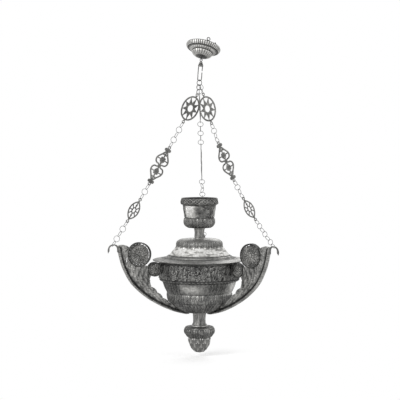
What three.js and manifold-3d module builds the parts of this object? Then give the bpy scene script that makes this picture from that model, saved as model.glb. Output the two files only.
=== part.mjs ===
// Hanging vigil lamp in worked silver: a fluted ceiling canopy, a long wire hook, three chains of
// rings and openwork plates, and a round bowl with three scroll brackets, a cup and a finial.
// Millimetres, +Z up. The origin is the point where the ceiling hook bears in the hanging staple.
import * as THREE from 'three';
import { mergeVertices } from 'three/addons/utils/BufferGeometryUtils.js';
import Module from 'manifold-3d';

const wasm = await Module();
wasm.setup();

// Driving dimensions

const SEAT = 0.3; // air between two pieces that rest on each other
const SKEW = 0.2; // more air, where two bent wires cross askew
const RAD = Math.PI / 180;

const STAPLE = { wire: 1.5, radius: 6, height: 8 };
const CANOPY = {
  lean: 23.4 * RAD, // the canopy hangs tipped, with its underside towards the viewer
  leanTo: 59.7 * RAD,
  height: 34,
  rim: 48,
  ledge: 35.5,
  dome: 28.5,
  step: [18, 19.6], // the plain step between the dome and the outer flutes
  wall: 1.2,
  flutes: 16,
  fluteDepth: 0.9,
};
const BACK_PLATE = { inset: 2, thickness: 1.2 };
const EYE = { radius: 2.7, wire: 0.9, drop: 7, shank: 1.3 };
const EYE_NUT = { radius: 5, thickness: 3 };
const RIM_EYE = { radius: 4.2, wire: 1.1, bearing: -75 * RAD, foot: 1.2 };
const RIM_STUD = { radius: 2.3, height: 3.2, bearing: -44.5 * RAD };

const HOOK = {
  wire: 1.15,
  eyeRadius: 3.2,
  eyeWire: 0.9,
  legSpread: 5.1,
  length: 59.1, // from the pivot in the canopy eye to the middle of the bottom bend
  gapTop: 31.5,
  gapBottom: 35.7,
  lean: 5, // sideways, so that the lamp hangs a little left of the canopy eye
};
const FERRULE = { top: 5.4, bottom: 19.2, topRadius: 3.3, bottomRadius: 7.4, ridges: 3, ridge: 0.5 };
const GATHER = { half: 9.6, drop: 8.2, wire: 0.9, yaw: -48 * RAD };

const RING = { wire: 0.6, segments: 8, sides: 3, bite: 0.2 };
const HUB = { rings: 2, reach: 13.4, spacing: 5.1 };
const PLATE = { thickness: 2, loop: 4.7, hole: 2.4, neck: 60 * RAD };
const MEDALLION = { holes: 86, long: 36.3, wide: 27, band: 3.4, rays: 9, eye: [7.6, 9.6], hub: 4.4, ray: 2.6 };
const HEARTS = { holes: 116, heart: 46, width: 20.5, band: 3.4, waist: 4.6, knob: 6.4, stem: 2.8, lobe: 4.2 };
const ALMOND = { holes: 69.5, half: 29.5, width: 16, band: 3, eye: [3.8, 7], hub: 2.4, spoke: 2.4 };
const SWIRL = 6 * RAD; // the medallions stand a little askew, so that they pass each other at the axis
const LEFT_BEND = 5 * RAD; // how far the tautest chain turns from top to bottom
const CHAINS = [
  { name: 'left', azimuth: 157.6, rings: [5, 3, 5], reach: 15.9, start: 5.5, place: 0, meets: 90 },
  { name: 'right', azimuth: 38, rings: [4, 4, 7], reach: 13.9, start: 13.1, place: 1, meets: 122 },
  { name: 'back', azimuth: 272.8, rings: [5, 4, 5], reach: 14.7, start: 11, place: -1, meets: 84 },
];

// The lamp's own heights are counted from the underside of the bowl.
const BOWL = {
  height: 146,
  wall: 1.6,
  foot: 40,
  belly: [[55, 7], [70, 16], [84, 27], [90.8, 43], [90.6, 56], [98, 72]],
  frieze: 113.5,
  friezeBottom: 91,
  segments: 28,
};
const BORE = 3.6; // for the tie rod, in everything that it passes through
const COVER = {
  edge: 131.8,
  wall: 1.5,
  lift: 3.2,
  bezel: 5,
  steps: [[93.5, 8.4], [91.5, 12.4], [84.6, 15.4]], // where the sloping plate meets the flare
  neck: [[64, -20], [64.8, -14], [63, -8.6]], // the flare's upper end, with heights from the top
  height: 60,
  top: 57,
  segments: 28,
};
const CUP_STEM = { height: 31, wall: 2.2, top: 16.3, waist: 12.9, bottom: 14 };
const CUP = { height: 83, wall: 1.5, rim: 50, lip: 52.7, waist: 41.2, bulge: 43.4, foot: 35.6, segments: 20 };
const LOWER_STEM = { height: 40, wall: 2.2, top: 19.6, waist: 17, bottom: 23.8 };
const COLLAR = {
  height: 31,
  wall: 2.2,
  top: 38,
  widest: 43.3,
  bottom: 32.4,
  levels: [9.4, 17, 24], // of the lower swell, of the widest turn and of the shoulder
  flutes: 9,
  flute: 0.8,
};
const BUD = { height: 43, radius: 31.2, rows: 4, scales: 8, scale: 1.3, plug: 8 };
const TIE = { radius: 3, head: 8, nut: 10, nutHeight: 5, sunk: 1 };
const GLASS = { radius: 38, base: 27, wall: 2, height: 66, floor: 4, segments: 18 };
const FLOAT = { radius: 17, thickness: 3, tube: 3, tubeHeight: 12, wick: 1.3, above: 7 };

const BRACKET = {
  web: 5,
  strip: 14, // width of the edging strip, across the bracket
  edge: 1.8, // its thickness
  drawnFor: 146, // the bowl's height that the curves below are drawn for: with another one they stretch
  tongue: [33, -2.1],
  spine: [[43, -2.1], [80, 8], [122, 27], [165, 54], [203, 90], [226, 131], [236, 162], [240.3, 183]],
  top: [[232, 186], [208, 182], [196, 140], [172, 137], [150, 134], [140, 116]],
  inner: [[150, 98], [152, 87], [147, 78], [134, 66], [118, 50], [98, 33], [74, 15.5], [54, 3]],
  lobes: 6,
  lobe: 2.4,
  spineSteps: 10,
  bandSides: 12,
  arch: [255, 181],
  archRadius: 17.5,
  archWidth: 5,
  archThickness: 2.8,
  archSteps: 9,
  tip: { bearing: -24 * RAD, spread: 22 * RAD, thickness: 2.6 }, // the small leaf that ends the arch
  bearing: 75 * RAD, // where on the arch the chain's last ring bears
  boss: [180, 168.5],
  bossRadius: 34,
  slots: { middles: [-20 * RAD, 22 * RAD, 64 * RAD], half: 15 * RAD, inside: 2.4, outside: 2.6 },
  scroll: [135.2, 125.8],
  scrollRadius: 20.6,
  lug: { width: 12, wall: 1.2 }, // a block on the scroll, which the screw draws up to the bowl
};
const ROSETTE = { large: 24.5, small: 13.2, edge: 6, dome: 12, petals: 8 };
const SCREW = { radius: 1.8, head: 4, headHeight: 2, headAir: 1 };
const RIVET = { radius: 1.5, head: 3, dome: 1.6, at: 37 };

const COLOURS = {
  silver: [0x8f8f8c, 0.42],
  dark: [0x6f706e, 0.5],
  pale: [0xb9b7b0, 0.35],
  wire: [0x7c7d7b, 0.45],
};

// Heights on the bracket stretch with the bowl, from the tongue up.
const bracketFoot = BRACKET.tongue[1];
const bracketStretch = (BOWL.height - bracketFoot) / (BRACKET.drawnFor - bracketFoot);
const raised = ([x, z]) => [x, bracketFoot + (z - bracketFoot) * bracketStretch];
const archCentre = raised(BRACKET.arch);
const boss = raised(BRACKET.boss);
const scroll = raised(BRACKET.scroll);

// Solids

function paint(name) {
  const [colour, roughness] = COLOURS[name];
  return new THREE.MeshStandardMaterial({ color: colour, roughness, metalness: 1 });
}

function glassPaint() {
  return new THREE.MeshStandardMaterial({ color: 0xa8452f, roughness: 0.1, metalness: 0 });
}

// Merges shared points, drops flat triangles at the poles and points the faces outwards.
function tidy(geometry) {
  const bare = geometry.clone();
  bare.deleteAttribute('normal');
  bare.deleteAttribute('uv');
  const merged = mergeVertices(bare, 1e-4);
  const at = merged.attributes.position;
  const corners = [0, 1, 2].map(() => new THREE.Vector3());
  const kept = [];
  let volume = 0;
  for (let i = 0; i < merged.index.count; i += 3) {
    const tri = [0, 1, 2].map((k) => merged.index.getX(i + k));
    if (new Set(tri).size < 3) continue;
    tri.forEach((v, k) => corners[k].fromBufferAttribute(at, v));
    volume += corners[0].dot(corners[1].clone().cross(corners[2]));
    kept.push(tri);
  }
  merged.setIndex(kept.flatMap((t) => (volume < 0 ? [t[0], t[2], t[1]] : t)));
  return merged;
}

function toSolid(geometry) {
  const clean = tidy(geometry);
  return new wasm.Manifold(new wasm.Mesh({
    numProp: 3,
    vertProperties: Float32Array.from(clean.attributes.position.array),
    triVerts: Uint32Array.from(clean.index.array),
  }));
}

function fromSolid(body) {
  const mesh = body.asOriginal().getMesh();
  const geometry = new THREE.BufferGeometry();
  geometry.setAttribute('position', new THREE.BufferAttribute(mesh.vertProperties.slice(), 3));
  geometry.setIndex(new THREE.BufferAttribute(mesh.triVerts.slice(), 1));
  return geometry;
}

const fuse = (geometries) => geometries.map(toSolid).reduce((a, b) => a.add(b));
const cut = (body, geometries) => geometries.map(toSolid).reduce((a, b) => a.subtract(b), body);

function piece(name, geometry, colour) {
  const material = typeof colour === 'string' ? paint(colour) : colour;
  const shape = geometry.isBufferGeometry ? tidy(geometry) : fromSolid(geometry);
  shape.computeVertexNormals();
  const mesh = new THREE.Mesh(shape, material);
  mesh.name = name;
  return mesh;
}

// Turns a closed profile of [radius, height] about Z. A ripple gives each point's radius, from its
// radius, its height and the number of its step round the axis.
function revolve(profile, segments, ripple) {
  const outline = [...profile, profile[0]].map(([r, z]) => new THREE.Vector2(r, z));
  const geometry = new THREE.LatheGeometry(outline, segments).rotateX(Math.PI / 2);
  if (!ripple) return geometry;
  const at = geometry.attributes.position;
  for (let i = 0; i < at.count; i += 1) {
    const [x, y, z] = [at.getX(i), at.getY(i), at.getZ(i)];
    const radius = Math.hypot(x, y);
    if (radius < 1e-6) continue;
    const step = Math.floor(i / outline.length) % segments;
    const scale = ripple(radius, z, step) / radius;
    at.setXY(i, x * scale, y * scale);
  }
  return geometry;
}

// A shell profile: the outside as given, and the inside one wall in from it, less the points left out.
function shellProfile(outside, wall, without = []) {
  const normal = (p, q) => {
    const length = Math.hypot(q[0] - p[0], q[1] - p[1]);
    return [(q[1] - p[1]) / length, (p[0] - q[0]) / length];
  };
  const inside = outside.map((p, i) => {
    const before = normal(outside[Math.max(i - 1, 0)], outside[Math.max(i, 1)]);
    const last = outside.length - 1;
    const after = normal(outside[Math.min(i, last - 1)], outside[Math.min(i + 1, last)]);
    const sum = [before[0] + after[0], before[1] + after[1]];
    const reach = wall * 2 / Math.max(sum[0] ** 2 + sum[1] ** 2, 2);
    return [p[0] - sum[0] * reach, p[1] - sum[1] * reach];
  });
  return [...outside, ...inside.filter((_, i) => !without.includes(i)).reverse()];
}

function cylinder(radius, from, to, segments = 16) {
  return revolve([[0, from], [radius, from], [radius, to], [0, to]], segments);
}

function hexNut(radius, shank, from, to) {
  return cut(toSolid(cylinder(radius, from, to, 6)), [cylinder(shank + SEAT, from - 1, to + 1, 12)]);
}

function box(x, y, z) {
  return new THREE.BoxGeometry(x, y, z);
}

// A flat shape in X and Z, of the given thickness along Y.
function slab(points, thickness, y = 0) {
  const shape = new THREE.Shape(points.map(([x, z]) => new THREE.Vector2(x, z)));
  const geometry = new THREE.ExtrudeGeometry(shape, { depth: thickness, bevelEnabled: false, steps: 1 });
  return geometry.rotateX(Math.PI / 2).translate(0, y + thickness / 2, 0);
}

function arc(centre, radius, from, to, steps, radius2 = radius) {
  return Array.from({ length: steps + 1 }, (_, i) => {
    const angle = from + (to - from) * i / steps;
    return [centre[0] + radius * Math.cos(angle), centre[1] + radius2 * Math.sin(angle)];
  });
}

function circle(centre, radius, segments, radius2 = radius, turn = 0) {
  return arc(centre, radius, turn, turn + 2 * Math.PI, segments, radius2).slice(0, -1);
}

// A wire ring in the X, Z plane, with an edge of the wire and a corner of the ring at top and bottom.
function wireRing(halfWidth, halfHeight, wire, segments, sides) {
  const points = [];
  const index = [];
  for (let i = 0; i < segments; i += 1) {
    const angle = Math.PI / 2 + 2 * Math.PI * i / segments;
    const centre = new THREE.Vector3(halfWidth * Math.cos(angle), 0, halfHeight * Math.sin(angle));
    const out = new THREE.Vector3(halfHeight * Math.cos(angle), 0, halfWidth * Math.sin(angle)).normalize();
    for (let j = 0; j < sides; j += 1) {
      const turn = Math.PI + 2 * Math.PI * j / sides;
      const point = centre.clone().addScaledVector(out, wire * Math.cos(turn));
      points.push(point.x, wire * Math.sin(turn), point.z);
      const [a, b] = [i * sides + j, i * sides + (j + 1) % sides];
      const next = ((i + 1) % segments) * sides;
      const [c, d] = [next + j, next + (j + 1) % sides];
      index.push(a, b, d, a, d, c);
    }
  }
  const geometry = new THREE.BufferGeometry();
  geometry.setAttribute('position', new THREE.Float32BufferAttribute(points, 3));
  geometry.setIndex(index);
  return geometry;
}

// A round wire along a smooth curve through the points.
function wireAlong(points, radius, steps) {
  const path = new THREE.CatmullRomCurve3(points.map((p) => new THREE.Vector3(...p)), false, 'centripetal');
  const section = new THREE.Shape(circle([0, 0], radius, 6).map(([x, y]) => new THREE.Vector2(x, y)));
  return new THREE.ExtrudeGeometry(section, { steps, bevelEnabled: false, extrudePath: path });
}

// A frame at a point whose -Z runs down the chain and whose Y is turned from the given side.
function chainFrame(origin, down, side, twist = 0) {
  const z = down.clone().negate();
  const y = side.clone().addScaledVector(z, -side.dot(z)).normalize();
  y.applyAxisAngle(z, twist);
  return new THREE.Matrix4().makeBasis(y.clone().cross(z), y, z).setPosition(origin);
}

// Canopy, in its own frame: the apex of its dome at the origin, and +Z up its leaning axis

const plateTop = CANOPY.height + SEAT + BACK_PLATE.thickness;
const plateRadius = CANOPY.rim - BACK_PLATE.inset;
const canopyAxis = new THREE.Vector3(
  Math.sin(CANOPY.lean) * Math.cos(CANOPY.leanTo),
  Math.sin(CANOPY.lean) * Math.sin(CANOPY.leanTo),
  Math.cos(CANOPY.lean),
);
const apexDrop = STAPLE.height + plateTop / canopyAxis.z; // plumb from the origin to the apex
const canopyTurn = new THREE.Quaternion().setFromUnitVectors(new THREE.Vector3(0, 0, 1), canopyAxis);

function canopyParts() {
  const group = new THREE.Group();
  group.position.z = -apexDrop;
  group.quaternion.copy(canopyTurn);
  const { height, rim, ledge, dome, step, wall, flutes, fluteDepth } = CANOPY;
  const outside = [
    [EYE.shank + SEAT, 0], [EYE_NUT.radius + 1, 0], [dome * 2 / 3, step[0] * 0.19],
    [dome - 2.4, step[0] * 0.48], [dome, step[0] - 3], [ledge - 1, step[0]], [ledge, step[1]],
    [ledge + 7, step[1] + 2.8], [rim, height - 2], [rim - 0.6, height],
  ];
  const flat = EYE_NUT.radius + 2 * wall; // the nut's seat stays round
  const fluted = (radius, z, i) => {
    const onStep = z > step[0] - wall && z < step[1];
    const worked = radius > flat && radius < rim - 1 && !onStep;
    return i % 2 && worked ? radius - fluteDepth : radius;
  };
  const shell = revolve(shellProfile(outside, wall, [3, 5, 8]), flutes * 2, fluted);
  group.add(piece('canopy_shell', shell, 'silver'));
  const plate = cylinder(plateRadius, height + SEAT, plateTop, 2 * flutes);
  group.add(piece('canopy_back_plate', plate, 'dark'));

  const eyeTop = -EYE.drop + 2 * EYE.radius; // above it the eye's shank runs up through the shell
  const nutBottom = wall + SEAT;
  const shank = cylinder(EYE.shank, eyeTop - EYE.wire / 2, nutBottom + EYE_NUT.thickness + 2, 10);
  const ring = wireRing(EYE.radius, EYE.radius, EYE.wire, 12, 4)
    .rotateZ(Math.PI / 2)
    .applyQuaternion(canopyTurn.clone().invert())
    .translate(...eyeCentre().toArray());
  group.add(piece('canopy_eye', fuse([shank, ring]), 'pale'));
  const nut = hexNut(EYE_NUT.radius, EYE.shank, nutBottom, nutBottom + EYE_NUT.thickness);
  group.add(piece('canopy_eye_nut', nut, 'dark'));

  const seat = plateTop + SEAT;
  const eye = fuse([
    wireRing(RIM_EYE.radius, RIM_EYE.radius, RIM_EYE.wire, 12, 6)
      .translate(0, 0, seat + RIM_EYE.radius + RIM_EYE.wire / 2 + RIM_EYE.foot / 2),
    box(4 * RIM_EYE.wire, 3 * RIM_EYE.wire, RIM_EYE.foot).translate(0, 0, seat + RIM_EYE.foot / 2),
  ]);
  const eyePiece = piece('canopy_rim_eye', eye, 'pale');
  const out = plateRadius - 3 * RIM_EYE.wire;
  eyePiece.position.set(out * Math.cos(RIM_EYE.bearing), out * Math.sin(RIM_EYE.bearing), 0);
  eyePiece.rotation.z = RIM_EYE.bearing + Math.PI / 2;
  group.add(eyePiece);
  const stud = revolve([
    [0, seat], [RIM_STUD.radius, seat], [RIM_STUD.radius, seat + RIM_STUD.height / 2],
    [RIM_STUD.radius / 2, seat + RIM_STUD.height], [0, seat + RIM_STUD.height],
  ], 10);
  const studPiece = piece('canopy_rim_stud', stud, 'silver');
  const studOut = plateRadius - RIM_STUD.radius;
  studPiece.position.set(studOut * Math.cos(RIM_STUD.bearing), studOut * Math.sin(RIM_STUD.bearing), 0);
  group.add(studPiece);
  return group;
}

// The eye hangs plumb under the apex. Its centre, in the canopy's frame:
function eyeCentre() {
  const plumb = new THREE.Vector3(0, 0, -EYE.drop + EYE.radius);
  return plumb.applyQuaternion(canopyTurn.clone().invert());
}

// The staple stands plumb on the leaning back plate: a wire loop on two legs, cut to the plate.
function stapleParts() {
  const { wire, radius, height } = STAPLE;
  const centre = wire - radius;
  const legs = [-radius, radius].map((x) => cylinder(wire, -height - 8, centre, 8).translate(x, 0, 0));
  const upperHalf = wireRing(radius, radius, wire, 16, 8).translate(0, 0, centre);
  const below = box(8 * radius, 8 * radius, 2 * radius).translate(0, 0, centre - radius);
  const plate = box(8 * radius, 8 * radius, 4 * radius)
    .translate(0, 0, SEAT - 2 * radius)
    .applyQuaternion(canopyTurn)
    .translate(0, 0, -height);
  const loop = cut(toSolid(upperHalf), [below]);
  const whole = legs.map(toSolid).reduce((a, b) => a.add(b), loop);
  return piece('hanging_staple', cut(whole, [plate]), 'dark');
}

// Hook, in its own frame: the pivot in the canopy eye at the origin

const pivotZ = -apexDrop - EYE.drop;
const hookLean = Math.asin(HOOK.lean / HOOK.length);
const hookEyeCentre = EYE.wire + HOOK.eyeWire + SEAT - HOOK.eyeRadius;

function hookWires(extra = 0) {
  const { wire, legSpread, length, gapTop, gapBottom } = HOOK;
  const neck = hookEyeCentre - HOOK.eyeRadius;
  const spreadAt = -FERRULE.bottom + 3;
  const bend = arc([0, legSpread - length], legSpread, Math.PI, 2 * Math.PI, 6);
  const long = [
    [0, 0, neck], [0, 0, neck - 3], [-legSpread * 0.6, 0, (neck + spreadAt) / 2 - 1],
    [-legSpread, 0, spreadAt - 2], [-legSpread - 0.5, 0, -length * 0.55],
    ...bend.map(([x, z]) => [x, 0, z]), [legSpread + 0.3, 0, (-length - gapBottom) / 2],
    [legSpread, 0, -gapBottom],
  ];
  const stub = [
    [0, 0, neck], [0, 0, neck - 3], [legSpread * 0.6, 0, (neck + spreadAt) / 2 - 1],
    [legSpread, 0, spreadAt - 2], [legSpread, 0, -gapTop],
  ];
  return [wireAlong(long, wire + extra, 24), wireAlong(stub, wire + extra, 7)];
}

function hookParts() {
  const group = new THREE.Group();
  group.position.z = pivotZ;
  group.rotation.y = hookLean;
  const eye = wireRing(HOOK.eyeRadius, HOOK.eyeRadius, HOOK.eyeWire, 12, 4).translate(0, 0, hookEyeCentre);
  group.add(piece('hook_wire', fuse([eye, ...hookWires()]), 'wire'));
  const { top, bottom, topRadius, bottomRadius, ridges, ridge } = FERRULE;
  const profile = [[0, -bottom]];
  for (let i = 0; i <= 2 * ridges; i += 1) {
    const share = i / (2 * ridges);
    const radius = bottomRadius + (topRadius - bottomRadius) * share;
    profile.push([radius + (i % 2 ? ridge : -ridge / 2), -bottom + (bottom - top) * share]);
  }
  profile.push([0, -top]);
  const sleeve = cut(toSolid(revolve(profile, 10)), hookWires(SEAT));
  group.add(piece('hook_ferrule', sleeve, 'dark'));
  return group;
}

// Gathering ring, on the lamp's axis

const lampX = -HOOK.lean;
const hookBottomZ = pivotZ - HOOK.length * Math.cos(hookLean);
const gatherZ = hookBottomZ + HOOK.wire + GATHER.wire + SEAT + SKEW - GATHER.drop;

function gatherParts() {
  const ring = wireRing(GATHER.half, GATHER.drop, GATHER.wire, 16, 4).rotateZ(GATHER.yaw);
  const mesh = piece('gathering_ring', ring, 'wire');
  mesh.position.set(lampX, 0, gatherZ);
  return mesh;
}

// Chains. A link is a ring or a plate, and its reach is the distance between its two bearing points.

const ringRadius = (reach) => reach / 2 - RING.bite / 2 + RING.wire;
const kneeRise = (width) => width / 2 * Math.tan(Math.PI / RING.segments); // a flat edge in a ring's corner
const plateGap = SEAT + RING.bite / 2 + kneeRise(PLATE.thickness);
const hubGap = SEAT + RING.bite / 2 + kneeRise(PLATE.thickness * 1.6); // its rings meet the plates askew
const hookGap = SEAT + RING.bite / 2 + kneeRise(BRACKET.archWidth);
const plateReach = (holes) => holes + 2 * PLATE.hole;

function archPoint(angle, inset) {
  const radius = BRACKET.archRadius - inset;
  return [archCentre[0] + radius * Math.cos(angle), archCentre[1] + radius * Math.sin(angle)];
}

const hookBearing = archPoint(BRACKET.bearing, BRACKET.archThickness);
const chainEndR = hookBearing[0];
const chainEndHeight = hookBearing[1] - hookGap;

// All the links of one chain below its hub rings, top to bottom. The air between a plate and a ring
// lets the lower link ride up by that much, so it counts as a negative length.
function chainLinks({ rings, reach }) {
  const plates = [MEDALLION, HEARTS, ALMOND];
  return plates.flatMap((plate, i) => [
    { kind: 'plate', plate, length: plateReach(plate.holes) },
    { kind: 'gap', length: -plateGap },
    ...Array.from({ length: rings[i] }, () => ({ kind: 'ring', length: reach })),
    ...(i < plates.length - 1 ? [{ kind: 'gap', length: -plateGap }] : []),
  ]);
}

// The points between the links, each [distance from the lamp's axis, height], when the chain leaves
// plumb by the angle first at its top and by the angle last at its foot.
function hangPath(links, start, first, last) {
  const total = links.reduce((sum, link) => sum + link.length, 0);
  const points = [start];
  let run = 0;
  for (const { length } of links) {
    const angle = first + (last - first) * (run + length / 2) / total;
    const [r, z] = points[points.length - 1];
    points.push([r + length * Math.sin(angle), z - length * Math.cos(angle)]);
    run += length;
  }
  return points;
}

const endOf = (path) => path[path.length - 1];

// The tautest chain sets how far the lamp hangs below: its turn is given, and its mean angle is found.
function tautPath(links, start) {
  let [low, high] = [0, Math.PI / 2];
  for (let i = 0; i < 60; i += 1) {
    const mean = (low + high) / 2;
    const end = endOf(hangPath(links, start, mean - LEFT_BEND / 2, mean + LEFT_BEND / 2));
    if (end[0] < chainEndR) low = mean;
    else high = mean;
  }
  return hangPath(links, start, low - LEFT_BEND / 2, low + LEFT_BEND / 2);
}

// A slacker chain is hung between its two ends: both its angles are found, by Newton's method.
function slackPath(links, start, end) {
  const miss = (a, b) => {
    const last = endOf(hangPath(links, start, a, b));
    return [last[0] - end[0], last[1] - end[1]];
  };
  let [a, b] = [0.3, 0.8];
  for (let i = 0; i < 40; i += 1) {
    const step = 1e-6;
    const [f, g] = miss(a, b);
    const [fa, ga] = miss(a + step, b);
    const [fb, gb] = miss(a, b + step);
    const [faa, gaa, fbb, gbb] = [(fa - f) / step, (ga - g) / step, (fb - f) / step, (gb - g) / step];
    const det = faa * gbb - fbb * gaa;
    a -= (f * gbb - g * fbb) / det;
    b -= (g * faa - f * gaa) / det;
  }
  return hangPath(links, start, a, b);
}

// Where each chain's hub rings leave the gathering ring and where its first plate begins.
function hubEnds({ azimuth, place, start }) {
  const out = new THREE.Vector3(Math.cos(azimuth * RAD), -Math.sin(azimuth * RAD), 0);
  const offset = place * HUB.spacing;
  const drop = GATHER.drop * Math.sqrt(1 - (offset / GATHER.half) ** 2);
  const top = new THREE.Vector3(
    offset * Math.cos(GATHER.yaw),
    offset * Math.sin(GATHER.yaw),
    gatherZ - drop + GATHER.wire + SEAT + kneeRise(2 * GATHER.wire) + RING.bite / 2,
  );
  const foot = out.clone().multiplyScalar(start);
  const length = HUB.rings * HUB.reach - hubGap;
  foot.z = top.z - Math.sqrt(length ** 2 - Math.hypot(foot.x - top.x, foot.y - top.y) ** 2);
  return { out, top, foot };
}

const [leftChain] = CHAINS;
const leftStart = hubEnds(leftChain);
const leftPath = tautPath(chainLinks(leftChain), [leftChain.start, leftStart.foot.z]);
const lampZ = endOf(leftPath)[1] - chainEndHeight; // height of the bowl's underside

// A plate's outline from its upper right quarter, which runs from the neck of the loop to the widest
// or narrowest point, mirrored both ways, with a round loop at each end.
function loopedOutline(quarter, holes) {
  const upper = [...arc([0, holes / 2], PLATE.loop, Math.PI / 2, -PLATE.neck, 4), ...quarter];
  const right = [...upper, ...upper.slice(0, -1).reverse().map(([x, z]) => [x, -z])];
  return [...right.slice(1, -1).map(([x, z]) => [-x, z]), ...right.reverse()];
}

const mirrored = (points, x, z) => points.map((p) => [p[0] * x, p[1] * z]);
const fourWays = (points) => [1, -1].flatMap((x) => [1, -1].map((z) => mirrored(points, x, z)));
const twoWays = (points) => [1, -1].map((z) => mirrored(points, 1, z));

function plateGeometry(outline, gaps, holes) {
  const shape = new THREE.Shape(outline.map(([x, z]) => new THREE.Vector2(x, z)));
  const loops = twoWays(circle([0, holes / 2], PLATE.hole, 8));
  shape.holes = [...gaps, ...loops].map((gap) => new THREE.Path(gap.map(([x, z]) => new THREE.Vector2(x, z))));
  return new THREE.ExtrudeGeometry(shape, { depth: PLATE.thickness, bevelEnabled: false, steps: 1 })
    .rotateX(Math.PI / 2)
    .translate(0, PLATE.thickness / 2, 0);
}

// An oval rim round a star: rays run from a ring with an open eye out to the rim.
function medallionPlate() {
  const { holes, long, wide, band, rays, eye, hub, ray } = MEDALLION;
  const quarter = arc([0, 0], wide, Math.acos(PLATE.loop / 2 / wide), 0, 5, long);
  const gaps = Array.from({ length: rays }, (_, i) => {
    const middle = 2 * Math.PI * i / rays;
    const half = Math.PI / rays - Math.asin(ray / 2 / (wide - band));
    const at = (angle, x, z) => [x * Math.cos(angle), z * Math.sin(angle)];
    return [
      at(middle, eye[0] + hub, eye[1] + hub),
      at(middle + half, wide - band, long - band),
      at(middle, wide - band, long - band),
      at(middle - half, wide - band, long - band),
    ];
  });
  return plateGeometry(loopedOutline(quarter, holes), [circle([0, 0], eye[0], 10, eye[1]), ...gaps], holes);
}

// Two hearts joined at the waist, each holding a knob on stems, with a trefoil at each end.
function heartsPlate() {
  const { holes, heart, width, waist, band, knob, stem, lobe } = HEARTS;
  const middle = heart * 0.42; // height of the knob
  const widest = heart * 0.33;
  const shoulder = heart * 0.74;
  const quarter = [
    [PLATE.loop / 2, heart + 2 * lobe], [lobe * 1.6, heart + 2 * lobe], [2 * lobe, heart + lobe * 0.9],
    [lobe, heart], [width * 0.52, shoulder], [width * 0.9, heart * 0.5], [width, widest],
    [width * 0.86, heart * 0.13], [width * 0.55, waist * 0.5], [waist * 1.5, waist], [waist, 0],
  ];
  const above = [
    [knob, middle + stem], [width - band * 1.3, middle + stem], [width * 0.5 - band * 0.5, shoulder - band],
    [stem / 2, heart - band], [stem / 2, heart * 0.74], [knob * 0.7, middle + knob],
  ];
  const below = [
    [knob, middle - stem / 2], [width - band, middle - stem / 2], [width - band, widest],
    [width * 0.84 - band * 0.5, heart * 0.2], [width * 0.5, waist * 0.5 + band], [stem, waist + band],
    [stem, middle - knob],
  ];
  return plateGeometry(loopedOutline(quarter, holes), [...fourWays(above), ...fourWays(below)], holes);
}

// A pointed oval: two arcs, and a small oval ring held by spokes.
function almondPlate() {
  const { holes, half, width, band, eye, hub, spoke } = ALMOND;
  const radius = (half ** 2 + width ** 2) / (2 * width);
  const edge = (inset, from, to, steps) => arc([width - radius, 0], radius - inset, from, to, steps);
  const reach = (inset, x) => Math.acos((x + radius - width) / (radius - inset));
  const quarter = edge(0, reach(0, PLATE.loop / 2), 0, 4);
  const ringOut = [eye[0] + hub, eye[1] + hub];
  const side = [
    ...edge(band, spoke / radius, reach(band, spoke * 3) * 0.9, 2),
    [ringOut[0] * 0.8, ringOut[1] * 0.6], [ringOut[0], spoke / 2],
  ];
  const end = [
    [spoke / 2, ringOut[1]], [ringOut[0] * 0.6, ringOut[1] * 0.85],
    ...edge(band, reach(band, spoke * 2.2), reach(band, spoke / 2), 1),
  ];
  const gaps = [circle([0, 0], eye[0], 8, eye[1]), ...fourWays(side), ...fourWays(end)];
  return plateGeometry(loopedOutline(quarter, holes), gaps, holes);
}

const plateSolids = new Map([
  [MEDALLION, ['medallion', medallionPlate()]],
  [HEARTS, ['heart_plate', heartsPlate()]],
  [ALMOND, ['oval_plate', almondPlate()]],
]);

// A run of rings through the given points. Each ring is turned from the last about the chain's line,
// and they are one body, joined where they bear on each other.
function ringRun(points, side, reach, twists) {
  const radius = ringRadius(reach);
  const rings = twists.map((twist, i) => {
    const middle = points[i].clone().add(points[i + 1]).multiplyScalar(0.5);
    const down = points[i + 1].clone().sub(points[i]).normalize();
    const frame = chainFrame(middle, down, side, twist * RAD);
    return wireRing(radius, radius, RING.wire, RING.segments, RING.sides).applyMatrix4(frame);
  });
  return fuse(rings);
}

// The rings at both ends of a run stand across the plates, and the others turn evenly between them.
function evenTwists(count) {
  const turn = 180 * Math.round((count - 1) / 2) / (count - 1);
  return Array.from({ length: count }, (_, i) => 90 + turn * i);
}

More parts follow.
